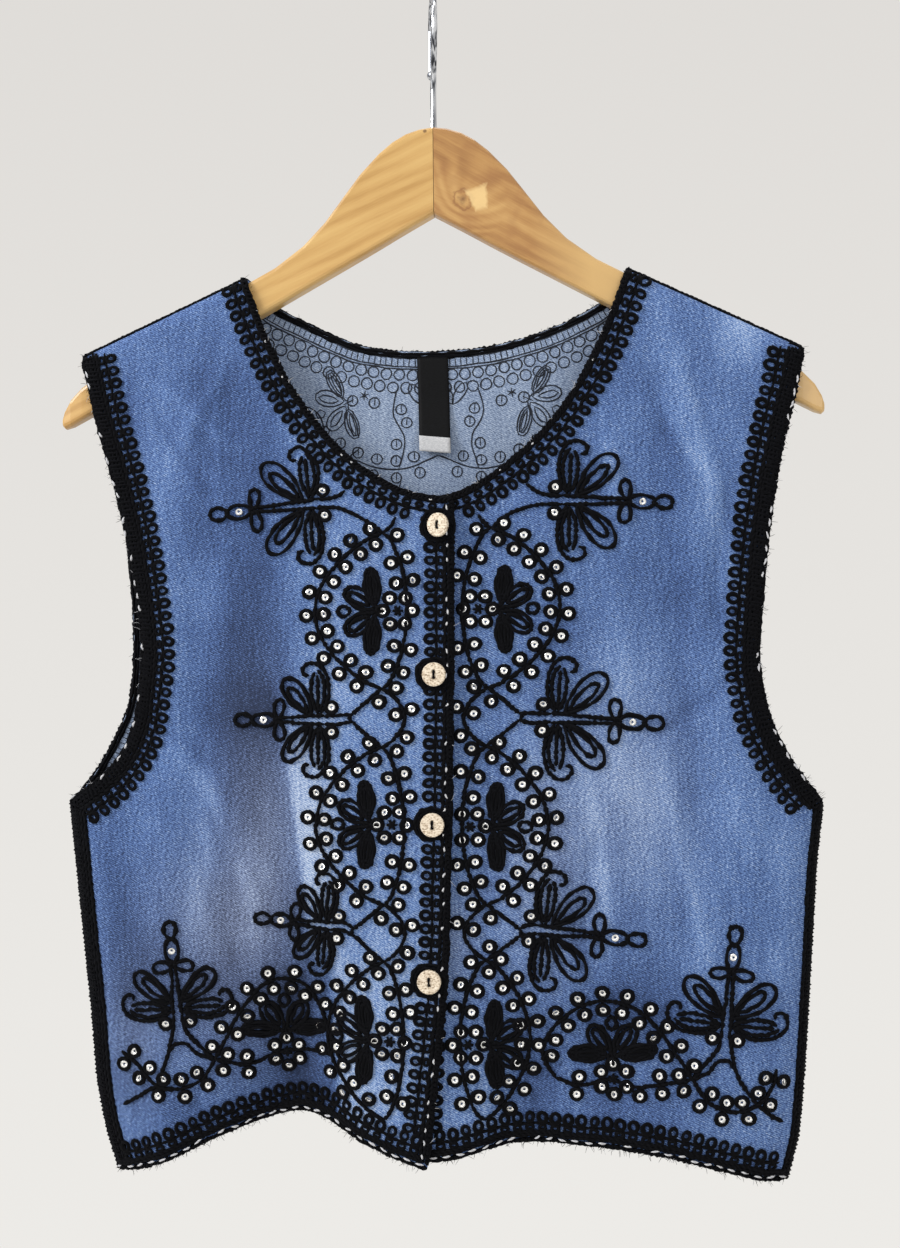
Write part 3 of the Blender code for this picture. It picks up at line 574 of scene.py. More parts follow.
def make_denim(name, stops, rib_share, thread_share):
    """Denim: fading and painted shade, plus slubs and threads, read through a colour ramp."""
    made, shader, _ = new_material(name)
    place = node(made, "UVMap", {"uv_map": "cloth_mm"}).outputs["UV"]
    slanted = stretched(made, place, (1.0, 1.0, 1.0), Rotation=(0.0, 0.0, RIB_SLANT))
    ribs = node(made, "TexWave", Vector=slanted, Scale=math.pi / 10 / RIB, Distortion=1.6,
                Detail=2.0, Detail_Scale=0.7).outputs["Fac"]
    threads = noise(made, stretched(made, slanted, (1.5, 0.6, 1.0)), 1.0, Roughness=0.65)
    slubs = noise(made, stretched(made, place, (0.5, 0.035, 1.0)), 1.0, 4.0)
    # the kept number holds fading and painted shade at the folds
    tone = kept(made, "fade_and_shade")
    for part, share in ((slubs, 0.26), (noise(made, place, 0.021, 3.0), 0.26),
                        (noise(made, place, 0.11, 3.0), 0.08), (ribs, rib_share),
                        (threads, thread_share)):
        tone = sums(made, "ADD", tone, centred(made, part, share))
    colour = ramp(made, tone, stops)
    # a greyer copy, mixed in by the greying number; on the left front that is painted shade
    grey = node(made, "HueSaturation", Color=colour, Saturation=0.68).outputs[0]
    feed(made, shader, Base_Color=mixed(made, kept(made, "greying_and_shade"), colour, grey),
         Normal=bump(made, added(made, (ribs, 0.6), threads), 0.3, 0.0003), Roughness=0.88,
         Specular_IOR_Level=0.25, Sheen_Weight=0.12, Sheen_Roughness=0.45,
         Sheen_Tint=linear("#A9BCDD"))
    return made


washed_denim = make_denim("washed_denim_twill", [
    (0.05, "#1B2844"), (0.26, "#31446C"), (0.44, "#455E90"), (0.62, "#6380B0"),
    (0.80, "#91A5C6"), (1.0, "#BAC8DD")], 0.20, 1.5)
denim_reverse = make_denim("denim_reverse_side", [
    (0.0, "#434F65"), (0.30, "#66758F"), (0.50, "#8292AC"), (0.75, "#A4B2C6"),
    (1.0, "#C4CEDA")], 0.22, 1.6)
print("denim materials:", washed_denim.name, denim_reverse.name)

# %% [markdown]
# The three panels
#
# The fronts and the back are cut from one cloth and sewn at the shoulders and sides. Each is a
# grid: a row runs from the armhole or side seam to the neck or centre edge, and the rows
# follow both edges down. The last rows bend to the hem's curve. The grid is closer where the
# cloth turns round at a seam. A cloth simulation could drape it, but the folds of this vest are
# known, so they are listed. So are the marks on the cloth: oval patches of fading and painted
# shade, and long marks of painted shade and painted highlight along the folds, sharp on one side.

# %% Panel grids
Patch = namedtuple("Patch", "x z wide tall turn amount")
Shade = namedtuple("Shade", "x_top z_top x_low z_low bow left right amount")

# oval patches of fading, and of painted shade in the fold valleys and on the left front
FADES_AND_SHADE_FRONT = rows(Patch, (-84, -462, 26, 44, 0, 0.1), (-118, -500, 16, 60, 8, 0.04),
        (-139, -500, 8, 56, -6, 0.13), (-60, -350, 30, 90, 0, 0.09),
        (-110, -345, 17, 100, -5, -0.27), (-126, -250, 18, 40, 0, -0.05),
        (-96, -405, 16, 40, -8, -0.2), (-175, -570, 26, 50, 0, -0.1),
        (-120, -575, 46, 22, 0, -0.16), (-84, -640, 12, 60, 4, -0.22),
        (-120, -650, 30, 30, 0, -0.08), (-36, -600, 20, 80, 0, 0.13), (-30, -450, 24, 130, 0, 0.1),
        (26, -500, 24, 150, 0, 0.06), (-66, -505, 12, 60, 0, 0.18), (-66, -600, 12, 34, 0, 0.16),
        (-66, -385, 14, 50, 0, 0.08), (-12, -420, 18, 90, 0, 0.07), (-12, -600, 20, 60, 0, 0.15),
        (56, -480, 16, 60, 0, 0.13), (56, -335, 24, 30, 0, 0.07), (84, -530, 16, 50, 0, 0.09),
        (176, -200, 16, 22, 0, 0.24), (172, -462, 20, 26, 0, 0.13), (190, -560, 16, 80, 0, 0.1),
        (-118, -232, 14, 32, 0, -0.15), (-142, -250, 12, 34, 0, -0.05), (-76, -262, 14, 40, 0, 0.1),
        (-190, -500, 14, 60, 0, -0.07), (-117, -484, 14, 24, 0, -0.08),
        (-164, -646, 20, 16, 0, -0.11), (-117, -612, 16, 18, 0, -0.06),
        (114, -636, 24, 20, 0, -0.11), (110, -455, 24, 52, 6, 0.13), (92, -500, 10, 55, 14, 0.03),
        (126, -470, 40, 66, 4, 0.04), (134, -500, 10, 40, 10, -0.05),
        (150, -500, 20, 60, -8, -0.05), (104, -585, 40, 24, 0, -0.18), (140, -215, 7, 60, 20, 0.08),
        (158, -300, 6, 70, 17, 0.06), (110, -330, 14, 70, 12, -0.07), (70, -360, 16, 40, 0, -0.08),
        (116, -372, 24, 24, 0, 0.08), (170, -640, 40, 26, 0, 0.03), (60, -630, 14, 40, 0, -0.12),
        (190, -440, 20, 30, 0, -0.05))
FADES_BACK = rows(Patch, (0, -430, 110, 90, 0, 0.1), (-120, -300, 30, 80, 0, 0.1),
        (130, -320, 24, 90, 0, -0.08), (-60, -600, 26, 60, 0, -0.12), (90, -600, 30, 60, 0, 0.1),
        (0, -250, 90, 26, 0, 0.04))
# painted shade and painted highlight along folds: the shadow edge of the left panel's fold, the
# left valley's shaded side, drag lines, shoulder ridges, right hem
SHADES_FRONT = rows(Shade, (-97, -400, -77, -548, 2, 38, 2, -0.18),
        (-92, -410, -72, -560, 2, 2.5, 20, 0.16), (-66, -555, -62, -668, 0, 40, 2.5, -0.24),
        (-57, -555, -55, -668, 0, 2.5, 18, 0.15), (-126, -575, -130, -670, 0, 14, 22, -0.05),
        (-150, -440, -96, -520, 3, 2.2, 8, 0.07), (-140, -455, -106, -545, 4, 2, 7, 0.06),
        (-184, -212, -180, -262, 2, 3, 6, -0.1), (-128, -190, -140, -330, -3, 10, 2.5, -0.07),
        (-118, -210, -112, -420, 2, 3, 12, 0.05), (120, -205, 156, -285, -4, 2.5, 9, 0.09),
        (150, -262, 168, -420, 2, 2.5, 8, 0.05), (96, -262, 104, -300, 0, 3, 8, 0.09),
        (134, -240, 150, -370, 0, 14, 3, -0.05), (84, -440, 98, -560, 4, 9, 2.5, 0.1),
        (98, -470, 100, -590, 0, 3, 16, -0.08), (122, -440, 152, -560, 3, 3, 8, 0.06),
        (150, -440, 142, -600, -3, 3, 10, 0.05), (60, -470, 78, -560, 2, 4, 10, -0.1),
        (48, -585, 54, -672, 0, 12, 4, -0.09), (66, -590, 70, -668, 0, 3, 12, 0.07))
# patches that grey the colour; those on the left front are painted shade
GREYING_AND_SHADE_FRONT = rows(Patch, (-100, -475, 26, 60, 0, 0.8), (-110, -400, 18, 60, -6, 0.1),
        (108, -462, 34, 60, 4, 0.45), (-128, -600, 46, 30, 0, 0.25), (-122, -540, 42, 42, 0, 0.8),
        (-182, -600, 20, 40, 0, 0.4), (60, -500, 24, 60, 0, 0.5), (10, -545, 14, 30, 0, 0.4))
BASE_TONE = 0.44
RUBBED = 0.05            # how much a millimetre of crease fades the cloth
FRONT_WIDTH, FRONT_STEP = 230.0, 3.0
BACK_WIDTH, BACK_STEP = 425.0, 4.0
ROW_RUN = 150.0
ROW_COUNTS = (34, 32, 56)
TOP_LENGTHS = np.array([0.0, 0.3, 1.0, 2.0, 3.5, 5.5, 9.0])
SEAM_LENGTHS = np.array([0.0, 0.4, 1.2, 2.4, 4.0, 6.0, 8.5, 11.5, 15.0, 19.0, 23.0])
ARM_ROW = len(TOP_LENGTHS) + ROW_COUNTS[0] + ROW_COUNTS[1] - 1


def shade_sum(shades, x, z):
    """Painted fold shade and highlight with one sharp side: a bell wider on one side of its line.
    """
    total = np.zeros_like(x)
    for mark in shades:
        along = (mark.z_top - z) / (mark.z_top - mark.z_low)
        bow = mark.bow * np.sin(np.pi * np.clip(along, 0.0, 1.0))
        away = x - (mark.x_top + (mark.x_low - mark.x_top) * along + bow)
        seen = smooth(along * 4.0 + 0.5) * smooth((1.1 - along) * 4.0)
        wide = np.where(away < 0, mark.left, mark.right)
        total = total + mark.amount * seen * np.exp(-(away / wide) ** 2)
    return total


def patch_sum(patches, x, z):
    """Soft oval patches: each a bell over a turned oval."""
    total = np.zeros_like(x)
    for patch in patches:
        turn = math.radians(patch.turn)
        across = (x - patch.x) * math.cos(turn) + (z - patch.z) * math.sin(turn)
        along = (z - patch.z) * math.cos(turn) - (x - patch.x) * math.sin(turn)
        total = total + patch.amount * np.exp(-(across / patch.wide) ** 2
                                              - (along / patch.tall) ** 2)
    return total


def fade_and_shade_at(x, z, panel):
    """Cloth tone: base, fading patches, rubbed fold tops, painted shade and highlight at folds."""
    if panel == "back":
        return BASE_TONE + patch_sum(FADES_BACK, x, z) + RUBBED * crease_sum(CREASES_BACK, x, z)
    return (BASE_TONE + patch_sum(FADES_AND_SHADE_FRONT, x, z) + RUBBED * crease_sum(CREASES_FRONT, x, z)
            + shade_sum(SHADES_FRONT, x, z))


def edge_rows(upper, lower, outer=False):
    """Points where the rows meet two edge curves: fine at the top, then three even runs.

    On an outer edge the runs end 150 mm down the armhole, under the arm and at
    the hem. On an inner one they end at the neck's foot, 150 mm below and at the hem.
    """
    upper, lower = smooth_curve(upper), smooth_curve(lower)
    turn, path = path_length(upper), np.concatenate([upper, lower[1:]])
    ends = [TOP_LENGTHS[-1], *((ROW_RUN, turn) if outer else (turn, turn + ROW_RUN)),
            path_length(path)]
    runs = [np.linspace(*pair, count + 1)[1:] for *pair, count in zip(ends, ends[1:], ROW_COUNTS)]
    return at_lengths(path, np.concatenate([TOP_LENGTHS, *runs]))


def front_flat(side):
    """A front's grid in the plane: straight rows, lowered so that the last follows the hem."""
    out = edge_rows(ARMHOLE_FRONT[side], SIDE_SEAM[side], True)
    ins = edge_rows(NECK_FRONT[side], CENTRE_EDGE[side])
    near = SEAM_LENGTHS / FRONT_WIDTH
    count = int((1.0 - near[-1]) * FRONT_WIDTH / FRONT_STEP)
    share = np.concatenate([near, np.linspace(near[-1], 1.0, count + 1)[1:]])[None, :, None]
    flat = out[:, None] * (1 - share) + ins[:, None] * share
    low = flat[-1, :, 1].copy()
    flat[..., 1] += ((read(HEM_FRONT[side], flat[-1, :, 0]) - low)[None, :]
                     * smooth((200.0 + low - flat[..., 1]) / 200.0))
    return flat


def back_flat():
    """The back's grid in the plane: a patch between four edge curves (a Coons patch)."""
    left, right = (edge_rows(ARMHOLE_BACK[side], SIDE_SEAM[side], True) for side in SIDES)
    near = SEAM_LENGTHS / BACK_WIDTH
    count = int((1.0 - 2 * near[-1]) * BACK_WIDTH / BACK_STEP)
    share = np.concatenate([near, np.linspace(near[-1], 1.0 - near[-1], count + 1)[1:-1],
                            1.0 - near[::-1]])
    top_x = left[0, 0] + share * (right[0, 0] - left[0, 0])
    line = table(SHOULDER_TIP["left"], *(SHOULDER_NECK[side] for side in SIDES),
                 SHOULDER_TIP["right"])
    for corner in line[1:3, 0]:
        top_x[np.argmin(np.abs(top_x - corner))] = corner
    top_z = np.where((top_x > line[1, 0]) & (top_x < line[2, 0]), read(NECK_BACK, top_x),
                     read(line, top_x))
    low_x = left[-1, 0] + share * (right[-1, 0] - left[-1, 0])
    down = run_of(left)
    v = (down / down[-1])[:, None, None]
    u = share[None, :, None]
    top = np.stack([top_x, top_z], -1)[None]
    low = np.stack([low_x, read(HEM_BACK, low_x)], -1)[None]
    corners = ((left[0] * (1 - u) + right[0] * u) * (1 - v)
               + (left[-1] * (1 - u) + right[-1] * u) * v)
    return left[:, None] * (1 - u) + right[:, None] * u + top * (1 - v) + low * v - corners


def square(normal, part):
    """Keep the wall square to the seam's plane, so that two panels can meet there."""
    block = normal[part]
    block[..., 1] = 0.0
    normal[part] = block / np.linalg.norm(block, axis=-1, keepdims=True)


def cloth_panel(name, flat, panel):
    """A closed thin shell: the grid moved out and in by half the cloth's thickness."""
    sign = 1 if panel == "back" else -1
    x, z = flat[..., 0], flat[..., 1]
    grid = np.stack([x, surface_y(x, z, panel), z], -1)
    normal = grid_normals(grid, sign)
    square(normal, (slice(0, 1), np.nonzero(np.abs(grid[0, :, 1]) < 1.0)[0]))
    square(normal, (slice(ARM_ROW, None), slice(0, 1)))
    if panel == "back":
        square(normal, (slice(ARM_ROW, None), slice(-1, None)))
    points, quads, part = wall(grid, normal, CLOTH / 2)
    # fading with painted shade and highlight at the folds, and greying that is painted shade on the
    # left front
    tones = {"fade_and_shade": fade_and_shade_at(x, z, panel), "greying_and_shade": patch_sum(GREYING_AND_SHADE_FRONT, x, z)}
    return put_mesh(name, "denim", points, quads[:, ::sign], [washed_denim, denim_reverse], part,
                    np.tile(flat.reshape(-1, 2), (2, 1)),
                    {key: np.tile(tone.ravel(), 2) for key, tone in tones.items()})


flats = {"left": front_flat("left"), "right": front_flat("right"), "back": back_flat()}
ARMS = ["hanger_arm_left", "hanger_arm_right"]
for panel, solid, size, area, arms in (
        ("left", "front_left", (0.240, 0.530), 0.0905, ARMS[:1]),
        ("right", "front_right", (0.240, 0.530), 0.0915, ARMS[1:]),
        ("back", "back", (0.450, 0.530), 0.195, ARMS)):
    piece = cloth_panel("denim_" + solid, flats[panel], panel)
    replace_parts(piece, solid)

# %% [markdown]
# Black woollen cord
#
# All the needlework is one material: a thick two-ply cord, couched down or crocheted into
# rings. A cord is a tube that follows a path. To show the twist without thousands of strands,
# the tube's section is a slightly flattened circle with two swellings that turn as it goes, so
# the edge looks lumpy as real cord does. How near a point is to a ply's crest is kept as a
# number, and the material lightens the crests a little as a painted highlight. Many paths with
# the same count of points are worked out at once as one array.

# %% Cord material and tube maker
def make_wool(name, dark, light, fuzz, gloss):
    """Dyed wool: painted shade in the grooves, painted highlight on the crests, a hairy bump."""
    made, shader, place = new_material(name)
    hair = noise(made, place, 2600.0, 3.0)
    # painted highlight: nearness to a ply crest, broken by hair noise, mixes in the lighter colour
    share = sums(made, "MULTIPLY", kept(made, "crest"), hair)
    feed(made, shader, Base_Color=mixed(made, share, linear(dark), linear(light)),
         Normal=bump(made, hair, 0.8, 0.0003), Roughness=0.92, Specular_IOR_Level=gloss,
         Sheen_Weight=fuzz, Sheen_Roughness=0.5, Sheen_Tint=linear("#8E93A6"))
    return made


# first colour: the cord in its grooves, with painted shade; second: the painted highlight on the
# crests
black_wool = make_wool("black_wool_cord", "#020203", "#15161B", 0.03, 0.08)
white_thread = make_wool("white_cotton_thread", "#9C9EA6", "#F3F2F0", 0.05, 0.2)
END_SIZE = 0.45          # an open end is drawn in to this share
HAND = np.random.default_rng(11)


def uneven(shape, closed):
    """Smooth noise along each path: the mean of each two neighbours of a normal draw."""
    drawn = HAND.normal(0.0, 1.0, shape)
    near = np.roll(drawn, 1, axis=1)
    if not closed:
        near[:, 0] = drawn[:, 0]
    return (drawn + near) * 0.7


def cords(paths, out, radius, pitch=6.0, sides=6, closed=False, lobe=0.17, low=0.86,
          rough=0.11, wander=0.15):
    """Tubes along an array of paths: points, four-cornered faces and crest numbers.

    paths and out have the shape (paths, points, 3); out points off the cloth.
    A tube's radius swells twice round its section by the lobe's share, and the
    swellings turn once in each pitch. Rough is the share by which its thickness
    varies, wander how far it strays sideways. Open ends are closed and drawn in.
    """
    if closed:
        tangent = unit(np.roll(paths, -1, axis=1) - np.roll(paths, 1, axis=1))
    else:
        tangent = unit(np.gradient(paths, axis=1))
    across = unit(np.cross(out, tangent))
    up = np.cross(tangent, across)
    paths = paths + across * (uneven(paths.shape[:2], closed) * wander)[..., None]
    turn = np.arange(sides) * 2 * np.pi / sides
    length = np.cumsum(np.linalg.norm(np.diff(paths, axis=1), axis=-1), axis=1)
    length = np.concatenate([np.zeros((len(paths), 1)), length], axis=1)
    if closed:
        whole = length[:, -1:] + np.linalg.norm(paths[:, :1] - paths[:, -1:], axis=-1)
        pitch = (whole / np.maximum(np.round(whole / pitch), 1))[..., None]
    wave = np.cos(2 * (turn[None, None] - 2 * np.pi * length[..., None] / pitch))
    size = np.broadcast_to(np.asarray(radius, float), paths.shape[:2])[..., None]
    size = size * (1 + rough * uneven(paths.shape[:2], closed)[..., None]) * (1 + lobe * wave)
    if not closed:
        size[:, [0, -1]] *= END_SIZE
    points = (paths[:, :, None] + (size * np.cos(turn))[..., None] * across[:, :, None]
              + (size * low * np.sin(turn))[..., None] * up[:, :, None])
    index = np.arange(points.size // 3).reshape(points.shape[:3])
    after = np.roll(index, -1, axis=2)
    ahead, far = np.roll(index, -1, axis=1), np.roll(after, -1, axis=1)
    quads = np.stack([index, after, far, ahead], -1)
    if closed:
        return points.reshape(-1, 3), quads.reshape(-1, 4), (0.5 + 0.5 * wave).reshape(-1)
    caps = [quads[:, :-1].reshape(-1, 4)]
    for k in range(1, sides - 2, 2):
        caps.append(index[:, 0, [0, k + 2, k + 1, k]])
        caps.append(index[:, -1, [0, k, k + 1, k + 2]])
    return points.reshape(-1, 3), np.concatenate(caps), (0.5 + 0.5 * wave).reshape(-1)


def cord_piece(name, blocks, made):
    """One joined mesh from blocks of cord, with their faces renumbered."""
    starts = np.cumsum([0] + [len(points) for points, _, _ in blocks[:-1]])
    return put_mesh(name, "cord", np.concatenate([points for points, _, _ in blocks]),
                    np.concatenate([quads + start for start, (_, quads, _) in zip(starts, blocks)]),
                    [made], values={"crest": np.concatenate([crest for _, _, crest in blocks])})


def laid(flat, panel, lift, radius, **more):
    """Cords laid along flat drawings on a panel, off it by a lift."""
    points, normal = on_cloth(flat, panel, lift)
    if points.ndim == 2:
        points, normal = points[None], normal[None]
    return cords(points, normal, radius, **more)


def sideways(directions):
    """Flat directions turned by a right angle."""
    return np.stack([-directions[:, 1], directions[:, 0]], -1)


RING_TURNS = np.linspace(0, 2 * np.pi, 11)[:-1]


def ovals(centres, directions, long_half, wide_half):
    """Flat ovals at some centres, each long along its own direction."""
    return (centres[:, None] + np.cos(RING_TURNS)[None, :, None] * directions[:, None] * long_half
            + np.sin(RING_TURNS)[None, :, None] * sideways(directions)[:, None] * wide_half)


def laid_rings(centres, directions, panel, long_half, wide_half, radius):
    """Crochet rings of cord on a panel."""
    return laid(ovals(centres, directions, long_half, wide_half), panel, radius * 0.75, radius,
                closed=True, pitch=3.4, lobe=0.14, wander=0.1)


print("one ring of cord has", len(RING_TURNS) * 6, "faces")

# %% [markdown]
# Looped trims
#
# Every edge of the vest is finished by hand: a braid over the raw edge, whipped with slanting
# stitches and with glints of white thread, a row of small crochet rings, a chain, and a row of
# larger loops. All these rows run beside the edge, so one function walks an edge curve and
# sets each row at its own distance inward. At the armholes the braid is broader.

# %% Edge walks and trims
Trim = namedtuple("Trim", "braid rings chain loops pitch dash_at dash_long dash_share whip")

NECK_WORK = Trim((0.1, 2.0), 5.2, 8.2, 12.0, 7.5, 1.2, 1.1, 0.16, 2.6)
CENTRE_WORK = Trim((0.1, 2.0, 4.3), 6.8, 9.2, 12.7, 7.5, 3.0, 1.5, 0.6, 1.4)
HEM_WORK = Trim((0.1, 3.2, 4.9), 7.4, 9.7, 13.3, 7.3, 1.6, 2.3, 0.92, 0.9)
ARM_WORK = Trim((0.1, 2.2, 4.3, 6.4, 8.4), 10.9, 13.0, 16.5, 7.5, 0.4, 2.2, 0.62, 9.2)
BUTTON_ROWS = table((2, -308), (-1, -393), (-2.5, -478), (-5, -566))
HEART = {"left": (-100.0, -480.0), "right": (100.0, -480.0), "back": (0.0, -480.0)}


def inward_normals(path, toward):
    """Unit normals of a flat path on the side of a given point."""
    normal = sideways(unit(np.gradient(path, axis=0)))
    return normal * np.where(np.sum(normal * (toward - path), 1) < 0, -1.0, 1.0)[:, None]


def beside(path, toward, distance, start=0.0, stop=0.0, step=1.3):
    """The path moved inward by a distance, its ends cut back, with even points."""
    fine = even(path + inward_normals(path, toward) * distance, 0.5)
    return even(at_lengths(fine, np.linspace(start, path_length(fine) - stop, len(fine))), step)


def facing_at(path, toward, places):
    """The inward direction of a path at places on it."""
    nearest = np.argmin(np.linalg.norm(path[None] - places[:, None], axis=-1), axis=1)
    return inward_normals(path, toward)[nearest]


def stations(path, toward, distance, pitch, start, stop):
    """Even places along a path moved inward, and the inward direction at each."""
    line = beside(path, toward, distance, start, stop, step=0.5)
    count = max(int(round(path_length(line) / pitch)), 2)
    places = at_lengths(line, (np.arange(count) + 0.5) * path_length(line) / count)
    return places, facing_at(line, toward, places)


def turned_by(directions, angles):
    """Flat directions, each turned by its own angle."""
    return directions * np.cos(angles)[:, None] + sideways(directions) * np.sin(angles)[:, None]


def dashes(places, along, panel, half_long, share):
    """Short glints of white thread, each a spindle near the edge; only a share of them shows."""
    seen = HAND.random(len(places)) < share
    places, along = places[seen], along[seen]
    along = turned_by(along, HAND.normal(0.0, 0.22, len(along)))
    places = places + HAND.normal(0.0, 0.3, places.shape)
    half_long = half_long * HAND.uniform(0.55 + 0.35 * share, 1.1, (len(places), 1, 1))
    reach = np.linspace(-1, 1, 5)[None, :, None] * half_long
    return laid(places[:, None] + along[:, None] * reach, panel, 1.55,
                0.6 * table((0.5, 1.0, 1.1, 1.0, 0.5)), lobe=0.1)


def whipping(path, toward, panel, width):
    """Slanting stitches over a raw edge, each from just beyond it to the braid's far side."""
    places, facing = stations(path, toward, 0.0, 2.5, 0.6, 0.6)
    reach = np.array([-0.75, 0.15 * width, 0.6 * width, width])[None, :, None]
    slant = np.array([-0.8, -0.3, 0.5, 1.0])[None, :, None]
    flat = places[:, None] + facing[:, None] * reach - sideways(facing)[:, None] * slant
    flat = flat + HAND.normal(0.0, 0.2, flat.shape)
    return laid(flat, panel, np.array([0.1, 1.5, 1.6, 0.9])[None, :, None],
                0.78 * table((0.9, 1.1, 1.0, 0.8)), lobe=0.2, sides=4)


def edge_trim(path, toward, panel, work, ends=(0.0, 0.0), skip=None):
    """The rows of one looped trim as blocks of cord, and one of white thread."""
    blocks = []
    start, stop = ends
    for number, distance in enumerate(work.braid):
        cut = (0.0, 0.0) if number == 0 else (min(start, 2.5), min(stop, 2.5))
        blocks.append(laid(beside(path, toward, distance, *cut, 1.55), panel,
                           0.75 * (number > 0), 1.2 if number else 1.35, lobe=0.26,
                           pitch=6.2 + 0.4 * number))
    for distance in (0.9, 2.6):
        blocks.append(laid(beside(path, toward, distance, 0.5, 0.5, 2.4), panel, -CLOTH - 0.3,
                           1.0, lobe=0.26, sides=4))
    line = beside(path, toward, work.chain, start, stop, 1.5)
    blocks.append(laid(line, panel, 0.85 * 0.7, 0.85, lobe=0.3))
    blocks.append(whipping(path, toward, panel, work.whip))
    for distance, long_half, wide_half, radius in ((work.rings, 1.6, 2.0, 1.0),
                                                   (work.loops, 2.75, 2.2, 1.12)):
        places, facing = stations(path, toward, distance, work.pitch, start, stop)
        if skip is not None:
            free = ~skip(places)
            places, facing = places[free], facing[free]
        size = 1.0 + HAND.normal(0.0, 0.06, (len(places), 1, 1))
        facing = turned_by(facing, HAND.normal(0.0, 0.12, len(facing)))
        blocks.append(laid_rings(places, facing, panel, long_half * size, wide_half * size,
                                 radius))
    places, facing = stations(path, toward, work.dash_at, work.pitch, 1.0, 1.0)
    return blocks, dashes(places, -sideways(facing), panel, work.dash_long, work.dash_share)


def hem_path(panel):
    """The hem's curve from a panel's own last row."""
    return even(flats[panel][-1], 1.0)


def near_buttons(places):
    """True where a ring would lie under a button's stitched patch."""
    gap = np.abs(places[:, None] - BUTTON_ROWS[None]) / np.array([13.0, 8.6])
    return (gap.max(-1) < 1.0).any(1)


thread_blocks = []


def trim(name, solid, panel, *walks):
    """One trim's piece from its walks along edges; the white thread goes to the common list."""
    blocks = []
    for path, *work in walks:
        black, white = edge_trim(path, HEART[panel], panel, *work)
        blocks += black
        thread_blocks.append(white)
    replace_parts(cord_piece("trim_cords_" + name, blocks, black_wool), "trim_" + solid)


for side in SIDES:
    trim("neck_" + side, "neck_" + side, side,
         (smooth_curve(NECK_FRONT[side]), NECK_WORK, (1.5, 7.0), near_buttons),
         (smooth_curve(CENTRE_EDGE[side]), CENTRE_WORK, (9.0, 15.0),
          near_buttons if side == "left" else None))
    trim("hem_" + side, "hem_front_" + side, side, (hem_path(side), HEM_WORK, (8.0, 6.0)))
    for panel, edges in (("front_", ARMHOLE_FRONT), ("back_", ARMHOLE_BACK)):
        name = "armhole_" + panel + side
        trim(name, name, side if panel == "front_" else "back",
             (smooth_curve(edges[side]), ARM_WORK, (3.0, 6.0)))
trim("neck_back", "neck_back", "back", (smooth_curve(NECK_BACK), NECK_WORK, (4.0, 4.0)))
trim("hem_back", "hem_back", "back", (hem_path("back"), HEM_WORK, (8.0, 8.0)))

# %% [markdown]
# Cords over the seams
#
# The side seams are hidden by a plain solid braid, broader on one side than on the other, and
# the shoulder seams by a narrow one. The cloth turns steeply there, so rows that are even in
# the plane would gape. Their places are found by walking round the quarter circle instead.

# %% Side and shoulder braids
def round_places(reach, depth, spacing, widest):
    """Distances in the plane whose places on a quarter round are evenly spaced."""
    fine = np.linspace(0.0, widest, 4000)
    run = run_of(np.stack([fine, depth * quarter_round(fine, reach)], -1))
    return np.interp(np.arange(0.0, run[-1], spacing), run, fine)[1:]


def seam_braid(path, panel, widest, radius=1.25):
    """Parallel cords on one panel from its side seam inward."""
    blocks = []
    for number, distance in enumerate(round_places(SIDE_ROUND, 15.0, radius * 1.75, widest)):
        line = beside(path, HEART[panel], distance, step=1.9)
        blocks.append(laid(line, panel, 0.35, radius, lobe=0.3, pitch=7.0 + 0.3 * number))
    return blocks + [whipping(path, HEART[panel], panel, widest * 0.9)]


def ridge_cord(flat, away, radius, lobe):
    """A cord over a seam, in the seam's own plane."""
    ridge = np.stack([flat[:, 0], np.zeros(len(flat)), flat[:, 1]], -1)
    return cords(ridge[None], np.tile(away, (1, len(ridge), 1)), radius, lobe=lobe)


SIDE_WIDTH = {"left": 11.0, "right": 6.0}
for side, sign in zip(SIDES, (-1.0, 1.0)):
    path = smooth_curve(SIDE_SEAM[side])
    blocks = seam_braid(path, side, SIDE_WIDTH[side]) + seam_braid(path, "back", SIDE_WIDTH[side])
    blocks.append(ridge_cord(even(path + [sign * 0.7, 0.0], 1.75), [sign, 0.0, 0.0], 1.5, 0.3))
    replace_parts(cord_piece("trim_cords_side_" + side, blocks, black_wool), "trim_side_" + side)
    seam = even(table(SHOULDER_TIP[side], SHOULDER_NECK[side]), 1.35)
    blocks = [laid(seam - [0.0, distance], panel, 0.3, 1.0, lobe=0.3)
              for panel, widest in ((side, 1.5), ("back", 2.6))
              for distance in round_places(SHOULDER_ROUND, 8.6, 2.1, widest)]
    blocks.append(ridge_cord(seam + [0.0, 0.5], [0.0, 0.0, 1.0], 1.15, 0.32))
    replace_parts(cord_piece("trim_cords_shoulder_" + side, blocks, black_wool),
                "trim_shoulder_" + side)

# %% [markdown]
# Couched flowers, wreaths and vines
#
# The embroidery is traditional couched work: cord is laid in loops and held with small
# stitches. A few forms make it all. A palmette is a double stem with a tip loop, an eye, two
# leaves, two big double petals and two hooked ones. A flower has two filled petals, two double
# loops and a ring. A wreath is two bowed vines between two crossings. Each form is a handful
# of formulas in its own small frame, placed by a row of a table. The fronts nearly mirror each
# other, as handwork does, so each side has its own numbers.

# %% Forms in their own frame
UNIT = 0.572             # the drawings below are in steps of this many millimetres
MARK = np.random.default_rng(7)


def petal(length, width, point=1.0):
    """A closed loop from the origin along the first axis.

    Its width is a sine of the turn, held back near the origin by the point
    power, so that 0 gives an oval and 1 a drop with a sharp start.
    """
    t = np.linspace(0.0, 2 * np.pi, (34 if length > 30 else 22) + 1)[:-1]
    return np.stack([length / 2 * (1 - np.cos(t)),
                     width / 2 * np.sin(t) * np.sin(t / 2) ** point], -1)


